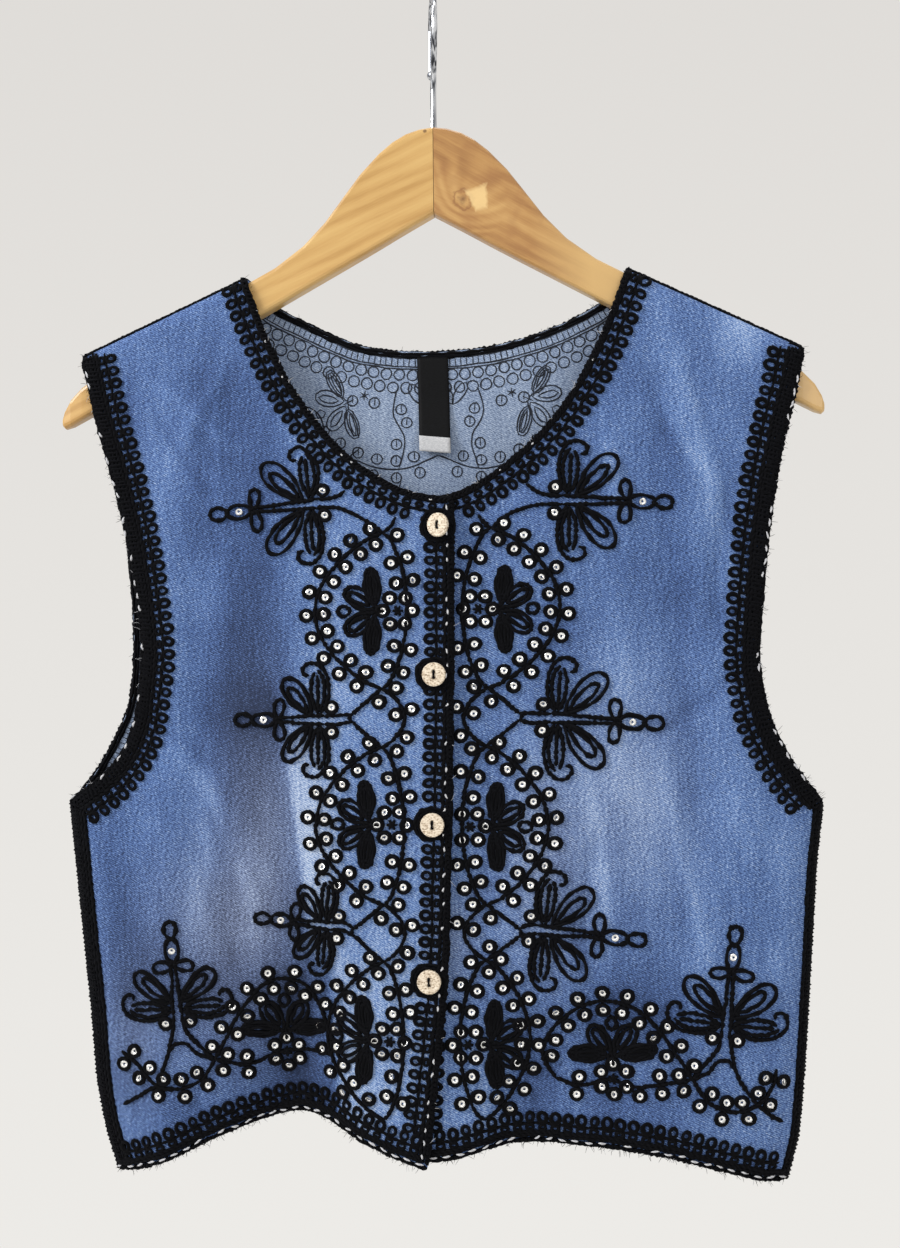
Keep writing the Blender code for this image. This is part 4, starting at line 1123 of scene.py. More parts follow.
def turned(points, degrees, place=(0.0, 0.0), size=1.0):
    """Flat points scaled, turned and moved."""
    c, s = math.cos(math.radians(degrees)), math.sin(math.radians(degrees))
    return np.asarray(points, float) * size @ np.array([[c, s], [-s, c]]) + np.asarray(place)


def palmette(stem):
    """Lines, closed loops, sequin places and berries of one palmette that points along x."""
    reach, lean = 22 + 0.55 * stem, 46 + 0.4 * (58 - stem)
    halves = [[(stem + 8, 1.8), (stem * 0.6, 3.0), (10, 4.0), (-2, 4.4)],
              [(2, 6), (-5, 18), (-7, 32), (-5, 45), (0, 54), (8, 58.5), (16, 57), (20.5, 52),
               (18.5, 46), (14, 45.5)],
              [(4, 6), (9, 16), (11.5, 30), (11, 41), (8, 49)],
              [(3, 8), (-1.5, 20), (-2.5, 34), (0.5, 46), (5, 51)],
              [(3.5, 8), (4.5, 22), (4.5, 36), (5, 46)]]
    lines = [table(*half) * [1.0, way] for half in halves for way in (1.0, -1.0)]
    loops = []
    for sign in (1, -1):
        loops += [turned(petal(reach, 0.54 * reach, 0.8), sign * lean, (11, sign * 5)),
                  turned(petal(0.69 * reach, 0.24 * reach, 0.8), sign * (lean - 1),
                         (15, sign * 8)),
                  turned(petal(19.5, 12, 0.4), sign * 96, (stem + 2.5, sign * 1.5))]
    loops += [turned(petal(24, 13.5, 0.0), 0, (stem + 6, 0)),
              turned(petal(18.5, 14, 0.35), 0, (stem + 29.5, 0))]
    return lines, loops, [(stem + 18, 0)], [(-10, 12.5), (-10, -12.5)]


def flower():
    """Lines, loops and berries of one flower that faces along x, with its rosette behind it."""
    lines, loops = [], []
    for sign in (1, -1):
        loops += [turned(petal(length, width, 0.15), sign * 84, (1, sign * gap))
                  for length, width, gap in ((36, 16, 7), (31, 10, 9.5), (25, 4.5, 12.5))]
        loops += [turned(petal(34, 21, 0.5), sign * 32, (1, sign * 3)),
                  turned(petal(23, 9, 0.4), sign * 32, (7, sign * 6))]
        lines.append([(-2, sign * 2), (1, sign * 9)])
    loops.append(turned(petal(12, 10, 0.0), 0, (26, 0)))
    lines.append([(-10, 0), (4, 0)])
    lines += [turned([[-5.5, 0.0], [0.0, 0.0], [5.5, 0.0]], angle, (-23, 0))
              for angle in (0, 60, 120)]
    turns = np.arange(6) * np.pi / 3
    berries = np.stack([-23 + 15 * np.cos(turns), 14.5 * np.sin(turns)], -1)
    return lines, loops, [], list(berries)


print("a palmette has", len(palmette(58)[0]), "lines and", len(palmette(58)[1]), "loops")

# %% [markdown]
# The layout
#
# On each front a column of three wreaths stands beside the centre, with a lozenge of crossed
# vines between each two and a palmette that points outward from each. A lying wreath and a
# corner palmette fill the hem. Berries, each a ring of cord round a sequin, sit in pairs on
# both sides of every vine.

# %% Layout tables in millimetres
Column = namedtuple("Column", "stations outer inner rosettes lozenge bulge")
Motif = namedtuple("Motif", "x z angle size stem")
Hem = namedtuple("Hem", "arch under corner foot flower")
SIGN = {"left": -1.0, "right": 1.0}

COLUMNS = {
    "left": Column([(-30.1, -311.8), (-31.1, -401.2), (-31.3, -434.8), (-30.7, -523.8),
                    (-31.0, -556.1), (-31.7, -645.2)],
                   (39.6, 39.1, 34.0), (14.1, 12.0, 11.5),
                   ((-21.7, -356.7), (-25.8, -478.5), (-28.0, -601.3)),
                   (-48.5, -48.0), (-18.0, -18.5)),
    "right": Column([(31.9, -309.6), (29.3, -401.3), (27.9, -434.3), (27.7, -524.4),
                     (26.9, -555.3), (24.9, -645.3)],
                    (40.3, 35.0, 25.4), (15.7, 14.0, 14.2),
                    ((24.0, -356.1), (18.4, -480.1), (16.2, -603.1)),
                    (46.9, 45.5), (16.0, 15.0)),
}
PALMETTES = {
    "left": rows(Motif, (-70.5, -294.2, 184.9, 0.585, 58), (-66.0, -418.9, 180.0, 0.56, 44),
                 (-62.5, -536.5, 174.5, 0.505, 39), (-153.0, -588.4, 94.6, 0.565, 46)),
    "right": rows(Motif, (74.4, -294.3, -1.9, 0.585, 57), (66.2, -418.6, -3.4, 0.59, 58),
                  (57.6, -538.2, -6.4, 0.575, 56), (161.7, -594.7, 83.5, 0.58, 52)),
}
HEMS = {
    "left": Hem([(-131.1, -615.0), (-126, -606), (-119, -592), (-110, -579.5), (-102, -571),
                 (-88.4, -568.0), (-78, -571.5), (-71, -581), (-66.5, -592.7), (-63, -604),
                 (-62.5, -613)],
                [(-131.1, -615.0), (-112, -618.5), (-97, -613), (-80, -611), (-62.5, -613)],
                [(-187, -612), (-176, -620.5), (-165.0, -630.6), (-154, -632.5), (-138, -626),
                 (-131.1, -615.0)],
                [(-165.0, -630.6), (-175.5, -637), (-186, -643)],
                Motif(-90.5, -599.2, 91, 0.572, 0)),
    "right": Hem([(142.1, -622.7), (137, -614), (128, -601), (117, -588), (105, -580.5),
                  (92.7, -578.6), (80, -581.5), (70, -588), (62, -597), (58.5, -609.4),
                  (65.8, -622.5)],
                 [(142.1, -622.7), (125, -625.5), (110, -626.5), (95, -623), (80, -626.5),
                  (65.8, -622.5)],
                 [(190, -618), (186, -630), (178.5, -637.3), (167, -641.5), (153, -637),
                  (142.1, -622.7)],
                 [(178.5, -637.3), (187, -644.5), (193, -648)],
                 Motif(98.0, -609.6, 92, 0.572, 0)),
}


def local(motif, point):
    """A point of a motif's own drawing, in the plane of the cloth."""
    return tuple(turned([point], motif.angle, (motif.x, motif.z), motif.size)[0])


def stem_ends(stem, side):
    """The two ends of a palmette's stem, in the same order on both sides."""
    ends = local(stem, (-2, 4)), local(stem, (-2, -4))
    return ends[::-1] if side == "left" else ends


def bowed(top, low, reach, power=0.72):
    """A vine between two crossings: a sine of the way down, raised to a power, sideways."""
    t = np.linspace(0.0, 1.0, 40)
    line = np.asarray(top) * (1 - t[:, None]) + np.asarray(low) * t[:, None]
    line[:, 0] += reach * np.sin(np.pi * t) ** power
    return line


def vine(points):
    """A smooth vine through a few points."""
    return smooth_curve(points, 1.1)


def column_vines(side):
    """The vines of one front's column: berried ones and bare ones."""
    plan, sign = COLUMNS[side], SIGN[side]
    berried, bare = [], []
    for k in range(3):
        top, low = plan.stations[2 * k:2 * k + 2]
        berried += [bowed(top, low, sign * plan.outer[k]),
                    bowed(top, low, -sign * plan.inner[k], 0.6)]
    for k in range(2):
        top, low = plan.stations[2 * k + 1:2 * k + 3]
        knot, middle = plan.lozenge[k], (top[1] + low[1]) / 2
        ends = stem_ends(PALMETTES[side][k + 1], side)
        for start, end, way in zip((top, low), ends, (1, -1)):
            tie = (knot, middle + way * 2.0)
            halfway = ((start[0] + knot) / 2, (start[1] + middle) / 2 + way * 1.5)
            berried.append(vine([start, halfway, tie]))
            bare.append(vine([tie, ((knot + end[0]) / 2, end[1] + way * 0.4), end]))
        bare.append(vine([(knot, middle + 2.4), (knot + sign * 1.6, middle), (knot, middle - 2.4)]))
        berried.append(bowed(top, low, -sign * abs(plan.bulge[k] - top[0]), 0.8))
    (x, z), (upper, lower) = plan.stations[0], stem_ends(PALMETTES[side][0], side)
    bare += [vine([(x, z), (x + sign * 12, z + 8.5), (x + sign * 26, lower[1] - 0.5), lower]),
             vine([upper, (upper[0] - sign * 12, upper[1] + 1.5),
                   (upper[0] - sign * 22, upper[1] + 8.0)]),
             vine([(x, z), (x - sign * 5.0, z + 4.0), (x - sign * 7.5, z + 9.0)])]
    return berried, bare


def hem_vines(side):
    """The vines along the hem of one front: berried ones and bare ones."""
    plan, sign = HEMS[side], SIGN[side]
    (ix, iz), (ox, oz) = stem_ends(PALMETTES[side][3], side)
    cross, outer = plan.arch[0], plan.foot[0]
    fall, rise = oz - outer[1], iz - cross[1]
    bare = [[(ox, oz), (ox + sign, oz - 0.3 * fall), (ox + sign * 4, oz - 0.6 * fall), outer],
            [(ix, iz), (ix - sign * 2, iz - 0.35 * rise), (ix - sign * 7.5, iz - 0.6 * rise),
             cross],
            [(ox + sign * 3, oz - 0.53 * fall), (ox - sign * 1.6, oz - 0.4 * fall),
             (ox - sign * 6, oz - 0.4 * fall), (ix - sign * 8.5, iz - 0.88 * rise), cross]]
    return [vine(points) for points in plan[:4]], [vine(points) for points in bare]


print("columns, hems and", sum(len(row) for row in PALMETTES.values()), "palmettes laid out")

# %% [markdown]
# Laying the work on the cloth
#
# All drawings of a panel are gathered first: open lines, closed loops, and the places of
# berries. A berry is left out where it would crowd another. Then each drawing is laid on the
# panel, and everything black on one panel becomes one mesh. The back, which the picture shows
# only from the inside, gets both columns, drawn taller, and a yoke under its neck.

# %% Gather and lay the embroidery
BERRY_RING = 3.25
BERRY_STEP = 12.6
BERRY_SIDE = 5.0
BERRY_GAP = 8.3
WORK_CORD = 1.2
YOKE = [(-104, -206), (-92, -230), (-74, -250), (-50, -266), (-24, -272), (0, -264)]
YOKE_TWIG = [(-24, -272), (-20, -254), (-27, -238), (-24, -224)]


def berries_beside(line, first=6.0):
    """Pairs of berry places on both sides of a vine, a step apart."""
    total = path_length(line)
    count = max(int(round((total - first) / BERRY_STEP)), 1)
    lengths = first + (total - first * 1.2) * np.arange(count) / count
    fine = even(line, 0.5)
    places = at_lengths(fine, lengths)
    side = sideways(unit(at_lengths(fine, lengths + 0.5) - at_lengths(fine, lengths - 0.5)))
    return [*(places + side * BERRY_SIDE), *(places - side * BERRY_SIDE)]


def apart(places, taken=()):
    """Places kept one by one where none kept or taken before is nearer than the gap."""
    free = list(taken)
    for place in places:
        if all(math.dist(place, other) > BERRY_GAP for other in free):
            free.append(tuple(place))
    return free[len(taken):]


def add_motif(work, motif, drawing):
    """Add a motif's lines, loops, sequins and berries to a panel's work, at its place."""
    lines, loops, *spots = drawing
    place = (motif.x, motif.z)
    work[0].extend(vine(turned(line, motif.angle, place, motif.size)) for line in lines)
    work[1].extend(turned(loop, motif.angle, place, motif.size) for loop in loops)
    for kind, points in zip(work[2:], spots):
        kind.extend(local(motif, point) for point in points)


def front_work(side):
    """All lines, loops, bare sequins and berries of one front."""
    work = [], [], [], []
    for motif in PALMETTES[side]:
        add_motif(work, motif, palmette(motif.stem))
    for x, z in COLUMNS[side].rosettes:
        add_motif(work, Motif(x + SIGN[side] * 23 * UNIT, z, 180.0 * (side == "left"), UNIT, 0),
                  flower())
    add_motif(work, HEMS[side].flower, flower())
    column, hem = column_vines(side), hem_vines(side)
    work[0].extend(column[0] + column[1] + hem[0] + hem[1])
    work[3].extend(apart([spot for line in column[0] + hem[0] for spot in berries_beside(line)],
                         work[3]))
    return work


def raised(points, top=-311.0, new_top=-288.0, low=-645.0):
    """A front's drawing raised for the back: heights above the hem's work spread upward."""
    moved = np.array(points, float)
    moved[..., 1] += np.clip((moved[..., 1] - low) / (top - low), 0.0, None) * (new_top - top)
    return moved


def back_work():
    """The back's drawings: a yoke of arcs, twigs, flowers and leaves, and both fronts' work."""
    work = [], [], [], []
    for sign in (-1.0, 1.0):
        arc, twig = (vine(table(*line) * [-sign, 1.0]) for line in (YOKE, YOKE_TWIG))
        work[0].extend([arc, twig])
        add_motif(work, Motif(sign * 55.0, -232.0, 90 + sign * -112, 0.52, 0), flower())
        work[1].extend(turned(petal(15, 7, 0.4), angle, (sign * 9, -234)) for angle in (58, 122))
        work[1].extend(turned(petal(20, 9, 0.5), 90 - sign * turn, (sign * 92, -246))
                       for turn in (10, 50))
        work[3].extend(apart(berries_beside(arc) + berries_beside(twig, 3.0), work[3]))
    for side in SIDES:
        for kind, drawings in zip(work, front_work(side)):
            kind.extend(raised(drawing) for drawing in drawings)
    return *work[:3], apart(work[3])


def edges_of(panel):
    """Edge curves of a panel: neck, hem and sides, with how near a berry may come."""
    sides = SIDES if panel == "back" else (panel,)
    neck = NECK_BACK if panel == "back" else NECK_FRONT[panel]
    edges = [(smooth_curve(neck), 21.0 if panel == "back" else 17.0), (hem_path(panel), 19.0)]
    edges += [(smooth_curve(SIDE_SEAM[side]), 14.5 if side == "left" else 9.5) for side in sides]
    if panel != "back":
        edges.append((smooth_curve(CENTRE_EDGE[panel]), 16.5 if panel == "left" else 19.5))
    return edges


def clear_of(points, path, gap, step):
    """True for points farther from a path than a gap."""
    return np.linalg.norm(points[:, None] - path[None, ::step], axis=-1).min(1) > gap


def embroider(panel, work):
    """Lay one panel's drawings as cord, and return them without what runs onto a trim."""
    lines, loops, sequins, berries = work
    edges = edges_of(panel)
    lines = [line[clear_of(line, edges[0][0], 15.5, 2) & clear_of(line, edges[1][0], 16.0, 2)]
             for line in lines]
    berries = np.array(berries)
    berries = berries[np.all([clear_of(berries, path, gap, 3) for path, gap in edges], axis=0)]
    blocks = [laid(even(line, 1.65), panel, WORK_CORD * 0.7, WORK_CORD, lobe=0.3)
              for line in lines if len(line) > 4]
    for count in sorted({len(loop) for loop in loops}):
        blocks.append(laid([loop for loop in loops if len(loop) == count], panel,
                           WORK_CORD * 0.7, WORK_CORD, closed=True, pitch=4.2, lobe=0.22))
    places = berries + MARK.normal(0.0, 0.14, berries.shape)
    blocks.append(laid_rings(places, np.tile([1.0, 0.0], (len(places), 1)), panel, BERRY_RING,
                             BERRY_RING, 1.27))
    name = "embroidery_back" if panel == "back" else "embroidery_front_" + panel
    cord_piece(name, blocks, black_wool)
    sequin_spots[panel] = np.concatenate([places, sequins])
    return lines, loops, berries


sequin_spots = {}
for side in SIDES:
    embroider(side, front_work(side))
back_lines, back_loops, back_berries = embroider("back", back_work())
print("berries and sequins:", sum(len(spots) for spots in sequin_spots.values()))

# %% [markdown]
# Sequins
#
# A sequin is a thin silvered cup with a hole, sewn down so that each lies at its own small
# tilt. That tilt is what makes some flash and others look grey. All are one mesh: a closed
# profile of six points turned round in eight steps, repeated by adding an array of places.

# %% Silver sequins
SEQUIN_PROFILE = table((0.68, 0.0), (1.4, 0.05), (2.16, 0.62), (2.05, 0.35), (1.35, -0.25),
                       (0.68, -0.3))
SEQUIN_TURNS = np.arange(8) * 2 * np.pi / 8


def sequins_mesh():
    """Points and faces of all sequins: a turned profile at each place, each with a tilt."""
    reach, height = SEQUIN_PROFILE[:, :1], SEQUIN_PROFILE[:, 1:]
    ring = np.stack([reach * np.cos(SEQUIN_TURNS), reach * np.sin(SEQUIN_TURNS),
                     height + 0.0 * SEQUIN_TURNS], -1)
    placed = [on_cloth(spots, panel, 0.95) for panel, spots in sequin_spots.items()]
    middles, normals = (np.concatenate(group) for group in zip(*placed))
    tilt = unit(normals + MARK.normal(0.0, 0.2, normals.shape))
    first = unit(np.cross(tilt, [0.0, 0.0, 1.0]))
    axes = np.stack([first, np.cross(tilt, first), tilt], 1)
    points = middles[:, None, None] + np.einsum("pak,nkc->npac", ring, axes)
    index = np.arange(points.size // 3).reshape(points.shape[:3])
    down, after = np.roll(index, -1, axis=1), np.roll(index, -1, axis=2)
    far = np.roll(down, -1, axis=2)
    return points.reshape(-1, 3), np.stack([index, down, far, after], -1).reshape(-1, 4)


# silvered plastic film: a metal with a little cloudiness, so that it glints softly
silver_film = speckled("silver_sequin_film", [(0.3, "#D9D9D6"), (0.7, "#FFFFFF")], 420.0,
                       Metallic=0.75, Roughness=0.22)
put_mesh("sequins", "wire", *sequins_mesh(), [silver_film])
cord_piece("white_thread_glints", thread_blocks, white_thread)

# %% [markdown]
# The reverse of the work
#
# Couching cord leaves a thin line of sewing thread on the inside, so the inside of the back
# shows the same drawing in fine dark lines, with rows of ticks where the trim is stitched
# through. It is seen through the neck. The threads lie on the inner skin: the same drawings
# are laid with a negative lift.

# %% Thread lines on the inside
INSIDE = -CLOTH - 0.12
THREAD_STEP = 3.3
# dull dyed sewing thread, nearly black
sewing_thread = speckled("navy_sewing_thread", [(0.3, "#0A0D15"), (0.7, "#1C2331")], 1500.0,
                         Roughness=0.85)


def inside(flat, radius, **more):
    """Thin threads laid on the inner side of the back."""
    return laid(flat, "back", INSIDE, radius, sides=4, lobe=0.1, **more)


def inside_circles(places, half):
    """Small circles of thread on the inner side."""
    facing = np.tile([1.0, 0.0], (len(places), 1))
    return inside(ovals(places, facing, half, half), 0.4, closed=True)


def reverse_work(lines, loops, berries):
    """The back's inside: its drawings, circles for berries, and the trims' stitches."""
    lines = [line for line in lines if len(line) > 4]
    lines += [np.concatenate([loop, loop[:1]]) for loop in loops]
    blocks = [inside(even(line, THREAD_STEP), 0.42) for line in lines]
    blocks.append(inside_circles(berries, 3.2))
    blocks.append(inside(berries[:, None] + table((0.0, -1.6), (0.0, 0.0), (0.2, 3.0)), 0.36))
    centre = HEART["back"]
    for path in (smooth_curve(NECK_BACK), *(smooth_curve(ARMHOLE_BACK[side]) for side in SIDES),
                 hem_path("back")):
        for distance in (3.4, 8.6, 10.0):
            line = beside(path, centre, distance, 5.0, 5.0, THREAD_STEP)
            blocks.append(inside(even(line, THREAD_STEP), 0.42))
        places, facing = stations(path, centre, 3.4, 3.4, 6.0, 6.0)
        reach = np.linspace(0.0, 5.2, 3)[None, :, None]
        blocks.append(inside(places[:, None] + facing[:, None] * reach, 0.3))
        for distance in (13.4, 20.9):
            blocks.append(inside_circles(stations(path, centre, distance, 7.9, 6.0, 6.0)[0], 3.3))
    return blocks


cord_piece("reverse_stitches_back", reverse_work(back_lines, back_loops, back_berries),
           sewing_thread)

# %% [markdown]
# Buttons
#
# The four buttons are pale coconut shell with two holes, sewn with black thread over a dense
# patch of stitches. The solids already have the right discs, so they keep their shape and get
# their material. Coconut shell is cream with brown flecks and pores, dull where it is cut.

# %% Coconut shell buttons, their thread and the stitched patches
def coconut(name):
    """Polished coconut shell: cream with short brown flecks and darker pores."""
    made, shader, place = new_material(name)
    fleck = noise(made, stretched(made, place, (1.0, 1.0, 2.4)), 620.0, 4.0)
    pores = node(made, "TexVoronoi", Vector=place, Scale=900.0).outputs["Distance"]
    tone = added(made, (fleck, 0.85), (pores, 0.25))
    feed(made, shader, Normal=bump(made, tone, 0.3, 0.0002), Roughness=0.5,
         Base_Color=ramp(made, tone, [(0.36, "#6E5844"), (0.46, "#AE9C86"), (0.56, "#D3C4AE"),
                                      (0.75, "#E6DCCB")]))
    return made


def finish_node(name, made):
    """Give a solid of the frame its finish."""
    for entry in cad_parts[name].material_slots:
        entry.material = made


DISC = 1.3               # half of a button's thickness
BUTTON_LEAN = ((28, 3.5), (4, 1.0), (2, 0.9), (3, 0.9))     # turn in degrees, lift in mm
coconut_shell = coconut("pale_coconut_shell")
patch_blocks, button_thread = [], []
turns = np.linspace(0, 2 * np.pi, 41)[:-1]
rounded = np.stack([np.sign(wave) * np.abs(wave) ** 0.8 for wave in (np.cos(turns), np.sin(turns))],
                   -1)
for number, ((x, z), (degrees, lift)) in enumerate(zip(BUTTON_ROWS, BUTTON_LEAN), 1):
    finish_node("button_%d" % number, coconut_shell)
    c, s = math.cos(math.radians(degrees)), math.sin(math.radians(degrees))
    out, across = np.array([-s, -c, 0.0]), np.array([c, 0.0, 0.0])
    ground = surface_y(np.array([x]), np.array([z]), "left")[0]
    face = np.array([x, ground - (CLOTH / 2 + 1.95 + lift + DISC), z]) + out * DISC
    rise = np.array([-2.0, -1.7, -0.8, 0.8, 1.7, 2.0])[:, None] * [0.0, 0.0, 1.0]
    bow = np.array([-0.9, 0.25, 0.5, 0.5, 0.25, -0.9])[:, None] * out
    for shift in (-0.28, 0.28):
        button_thread.append(cords((face + rise + bow + shift * across)[None],
                                   np.tile(out, (1, 6, 1)), 0.38))
    for size, height in ((3.2, 0.5), (5.2, 0.6), (7.2, 0.8), (9.1, 0.9)):
        patch_blocks.append(laid([rounded * [size, size * 0.94] + [x - 0.6, z]], "left", height,
                                 1.25, closed=True, lobe=0.32, pitch=3.2))
cord_piece("buttonhole_patches", patch_blocks, black_wool)
cord_piece("button_thread", button_thread, black_wool)

# %% [markdown]
# The neck label
#
# A narrow black woven label is stitched inside the back of the neck. Its lower end is folded
# up and shows its silver-grey reverse. It is bare. It curls a little off the cloth, so it is a
# grid of its own with a thin wall.

# %% Woven label with a folded end
LABEL_LEFT, LABEL_RIGHT, LABEL_TOP, LABEL_LOW = -12.0, 6.5, -206.0, -261.0


def label_strip(top, low, off, curl, count, slope=0.0):
    """A strip of the label: a grid on the back panel, moved off it and curling down its length."""
    x, z = np.meshgrid(np.linspace(LABEL_LEFT, LABEL_RIGHT, 9), np.linspace(top, low, count))
    x = x + (LABEL_TOP - z) * 0.02
    down = (LABEL_TOP - z) / (LABEL_TOP - LABEL_LOW)
    y = surface_y(x, z, "back") - CLOTH / 2 - off - curl * smooth((down - 0.4) / 0.6)
    return np.stack([x, y, z + (x - LABEL_LEFT) * slope], -1)


def label_part(name, grid, half, colour_name, dark, light):
    """A closed wall round a strip, in satin-woven polyester: fine cross ribs, a soft shine."""
    woven = speckled(colour_name, [(0.3, dark), (0.7, light)], 700.0, scales=(1.0, 1.0, 6.0),
                     relief=0.4, Roughness=0.6, Specular_IOR_Level=0.12)
    points, quads, _ = wall(grid, grid_normals(grid, -1), half)
    return put_mesh(name, "label_cloth", points, quads[:, ::-1], [woven])


label_piece = label_part("label_strip", label_strip(LABEL_TOP, LABEL_LOW, 0.8, 3.0, 24), 0.35,
                         "black_satin_label", "#020203", "#0C0D10")
label_fold = label_part("label_folded_end",
                        label_strip(LABEL_LOW + 8.5, LABEL_LOW - 0.6, 1.9, 3.1, 8, -0.10), 0.3,
                        "label_reverse", "#9C9EA3", "#C9CACC")
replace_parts(label_piece, "neck_label")
print("label from", LABEL_TOP, "to", LABEL_LOW, "mm")

# %% [markdown]
# The wooden hanger and its hook
#
# The hanger is two pieces of pale hardwood, glued in a mitre at the centre, sanded round and
# varnished. The grain runs down each arm. Here growth rings are a wave along the arm's own
# direction, bent by noise, and the pores are short dark dashes along it. The right half was
# cut beside a knot: there the distance from a point bends the wave into swirls, darkens a ring
# and lightens a patch. The hook is a plated wire.

# %% Varnished hardwood and plated wire
KNOT_AT = (0.0172, 0.0, -0.1172)
SPECK_AT = (-0.0047, 0.0, -0.0768)
PALE_TURN = 0.25
PALE_X = 0.0262 * math.cos(PALE_TURN) - 0.1172 * math.sin(PALE_TURN)
PALE_Z = -0.0262 * math.sin(PALE_TURN) - 0.1172 * math.cos(PALE_TURN)


def distance_from(made, place, point):
    """Distance of each place from a point."""
    return node(made, "VectorMath", {"operation": "DISTANCE"}, i0=place,
                i1=point).outputs["Value"]


def stained(made, colour, value, start, end, most, code):
    """A colour with another laid over it where a value nears the end of a range."""
    return mixed(made, rescaled(made, value, start, end, 0.0, most), colour, linear(code))


def knot_bend(made, drawn, away):
    """The wave's coordinates pushed aside near the knot."""
    push = node(made, "VectorMath", {"operation": "SCALE"}, i0=(0.3, 0.4, 2.2))
    feed(made, push, Scale=rescaled(made, away, 0.0, 0.026, 1.0, 0.0))
    return node(made, "VectorMath", {"operation": "ADD"}, i0=drawn, i1=push.outputs[0]).outputs[0]


def knot_colours(made, colour, through, away):
    """The knot's stains, dark ring and core, the pale tapered patch and the lighter far arm."""
    colour = stained(made, colour, noise(made, through, 70.0), 0.5, 0.72, 0.42, "#8A5A30")
    wobble = centred(made, noise(made, through, 200.0), 0.007)
    core = sums(made, "ADD", away, wobble)
    ring = sums(made, "ABSOLUTE", sums(made, "SUBTRACT", core, 0.0052))
    colour = stained(made, colour, ring, 0.0013, 0.0, 0.7, "#7E5129")
    colour = stained(made, colour, core, 0.0032, 0.0, 0.85, "#5A3A22")
    leaned = stretched(made, through, (1.0, 1.0, 1.0), Rotation=(0.0, PALE_TURN, 0.0))
    axes = node(made, "SeparateXYZ", Vector=leaned).outputs
    across = sums(made, "SUBTRACT", axes["X"], PALE_X)
    down = sums(made, "SUBTRACT", axes["Z"], PALE_Z)
    wide = added(made, (sums(made, "ABSOLUTE", across), 1.2), (down, -0.28))
    tall = sums(made, "MULTIPLY", sums(made, "ABSOLUTE", down), 0.9)
    reach = added(made, sums(made, "MAXIMUM", wide, tall), (wobble, 0.55))
    colour = stained(made, colour, reach, 0.0068, 0.0048, 0.75, "#DDBE84")
    plain = node(made, "SeparateXYZ", Vector=through).outputs["X"]
    return stained(made, colour, plain, 0.056, 0.092, 0.85, "#C5A268")


def hardwood(name, slant, stops, knot):
    """Varnished hardwood: growth rings as a bent wave, pores, and perhaps a knot."""
    made, shader, place = new_material(name)
    through = stretched(made, place, (1.0, 0.0, 1.0))
    along = stretched(made, place, (1.0, 1.0, 1.0), Rotation=(0.0, slant, 0.0))
    drawn = stretched(made, along, (14.0, 60.0, 95.0))
    away = distance_from(made, through, KNOT_AT)
    rings = node(made, "TexWave", {"bands_direction": "Z"}, Scale=0.42, Distortion=4.5,
                 Detail=3.0, Detail_Scale=1.2,
                 Vector=knot_bend(made, drawn, away) if knot else drawn).outputs["Fac"]
    pores = noise(made, stretched(made, along, (60.0, 500.0, 900.0)), 1.0, 3.0)
    tone = added(made, (rings, 0.11 if knot else 0.16), (noise(made, drawn, 0.55), 0.62),
                 (pores, 0.26))
    colour = ramp(made, tone, stops)
    if knot:
        colour = knot_colours(made, colour, through, away)
    else:
        speck = distance_from(made, through, SPECK_AT)
        colour = stained(made, colour, speck, 0.0014, 0.0008, 0.8, "#5E4024")
    feed(made, shader, Base_Color=colour, Normal=bump(made, tone, 0.12, 0.0003), Roughness=0.38,
         Coat_Weight=0.25, Coat_Roughness=0.25)
    return made


finish_node("hanger_arm_left", hardwood("varnished_beech_left", math.radians(24), [
    (0.32, "#AA8145"), (0.5, "#BC9558"), (0.72, "#C7A365")], False))
finish_node("hanger_arm_right", hardwood("varnished_beech_right", math.radians(-30), [
    (0.32, "#8C6032"), (0.5, "#A87D47"), (0.74, "#C29B60")], True))
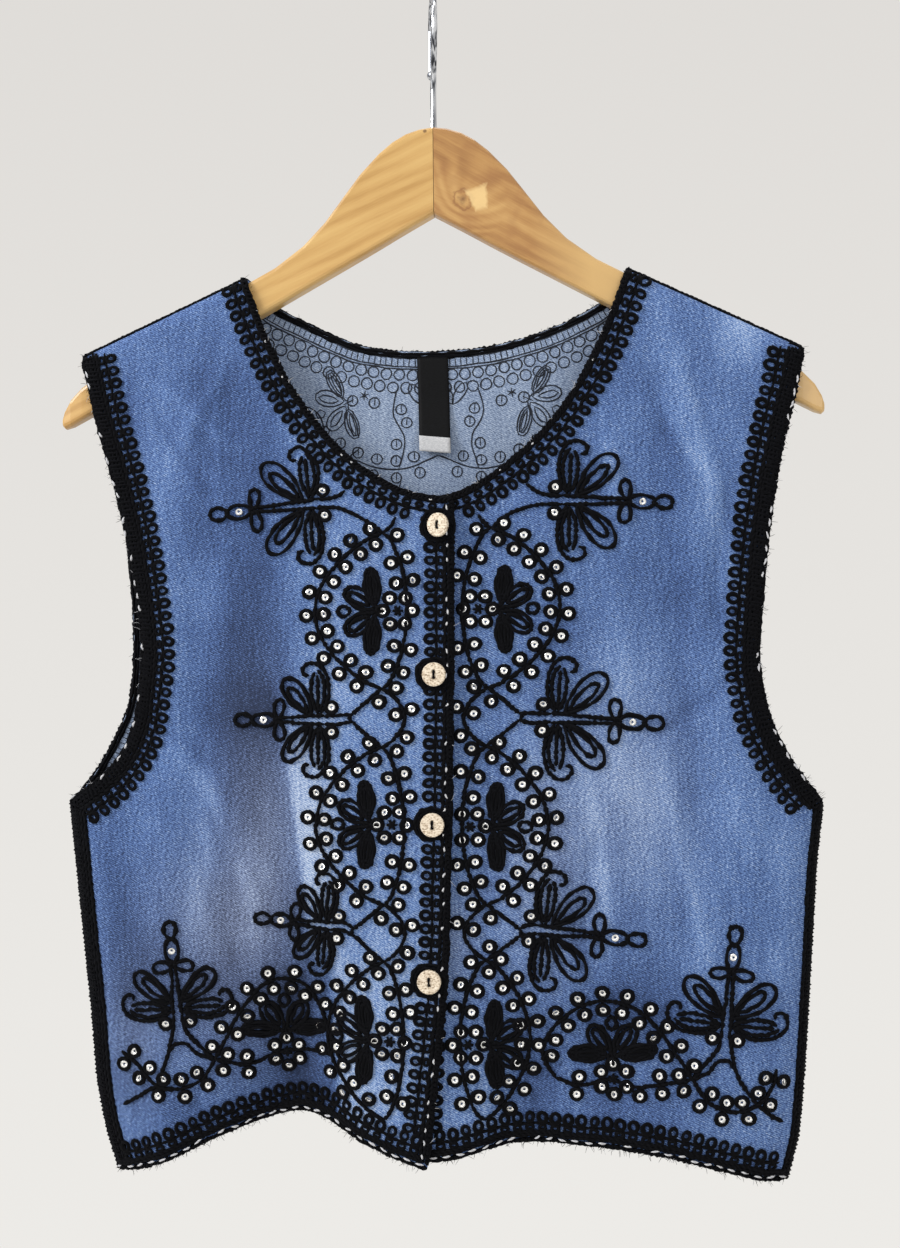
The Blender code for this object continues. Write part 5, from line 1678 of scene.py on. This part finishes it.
# chromium plate on drawn steel: bright, with long dark and light streaks that are a painted
# reflection
finish_node("hanger_hook", speckled("chrome_plated_wire", [
    (0.38, "#3A3C41"), (0.48, "#8B8E94"), (0.6, "#D3D5D9")], 1.0, 1.0, (900.0, 500.0, 38.0),
    Metallic=1.0, Roughness=0.3))
print("hanger and hook finished")

# %% [markdown]
# Loose fibres
#
# Wool is hairy, and a few ends of the white thread stick out from the edges. Short bent fibres
# are scattered along the edge curves, each in its own direction, as very thin tubes.

# %% Scattered fibres along the edges
def fibres(path, panel, count, radius, longest):
    """Bent fibres that start on an edge and lean out of it, each a tube of four points."""
    starts = at_lengths(path, MARK.uniform(0.0, path_length(path), count))
    outward = -facing_at(path, HEART[panel], starts)
    points, normal = on_cloth(starts, panel, 0.8)
    lean = np.stack([outward[:, 0], np.zeros(count), outward[:, 1]], -1)
    along = np.cross(lean, normal)
    first = (lean * MARK.uniform(0.2, 1.0, (count, 1)) + normal * MARK.uniform(0.1, 0.7, (count, 1))
             + along * MARK.normal(0.0, 0.7, (count, 1)))
    second = first + along * MARK.normal(0.0, 0.8, (count, 1)) + lean * 0.2
    size = MARK.uniform(0.4, 1.0, (count, 1)) * longest
    share = np.array([0.0, 0.35, 0.7, 1.0])[None, :, None]
    bent = unit(first)[:, None] * share + unit(second)[:, None] * share**2 * 0.9
    return cords(points[:, None] + bent * size[:, None], np.tile(normal[:, None], (1, 4, 1)),
                 radius, sides=4, lobe=0.0)


black_fibres, white_fibres = [], []
for side in SIDES:
    for path, black, white, longest in (
            (smooth_curve(NECK_FRONT[side]), 60, 15, 2.5),
            (smooth_curve(ARMHOLE_FRONT[side]), 90, 22, 2.5),
            (smooth_curve(CENTRE_EDGE[side]), 40, 10, 2.5), (hem_path(side), 100, 22, 2.6)):
        black_fibres.append(fibres(path, side, black, 0.11, longest))
        white_fibres.append(fibres(path, side, white, 0.11, 3.0))
    black_fibres.append(fibres(smooth_curve(ARMHOLE_BACK[side]), "back", 60, 0.10, 3.2))
black_fibres.append(fibres(smooth_curve(NECK_BACK), "back", 50, 0.10, 2.6))
black_fibres.append(fibres(hem_path("back"), "back", 110, 0.11, 2.6))
cord_piece("loose_black_fibres", black_fibres, black_wool)
cord_piece("loose_white_fibres", white_fibres, white_thread)
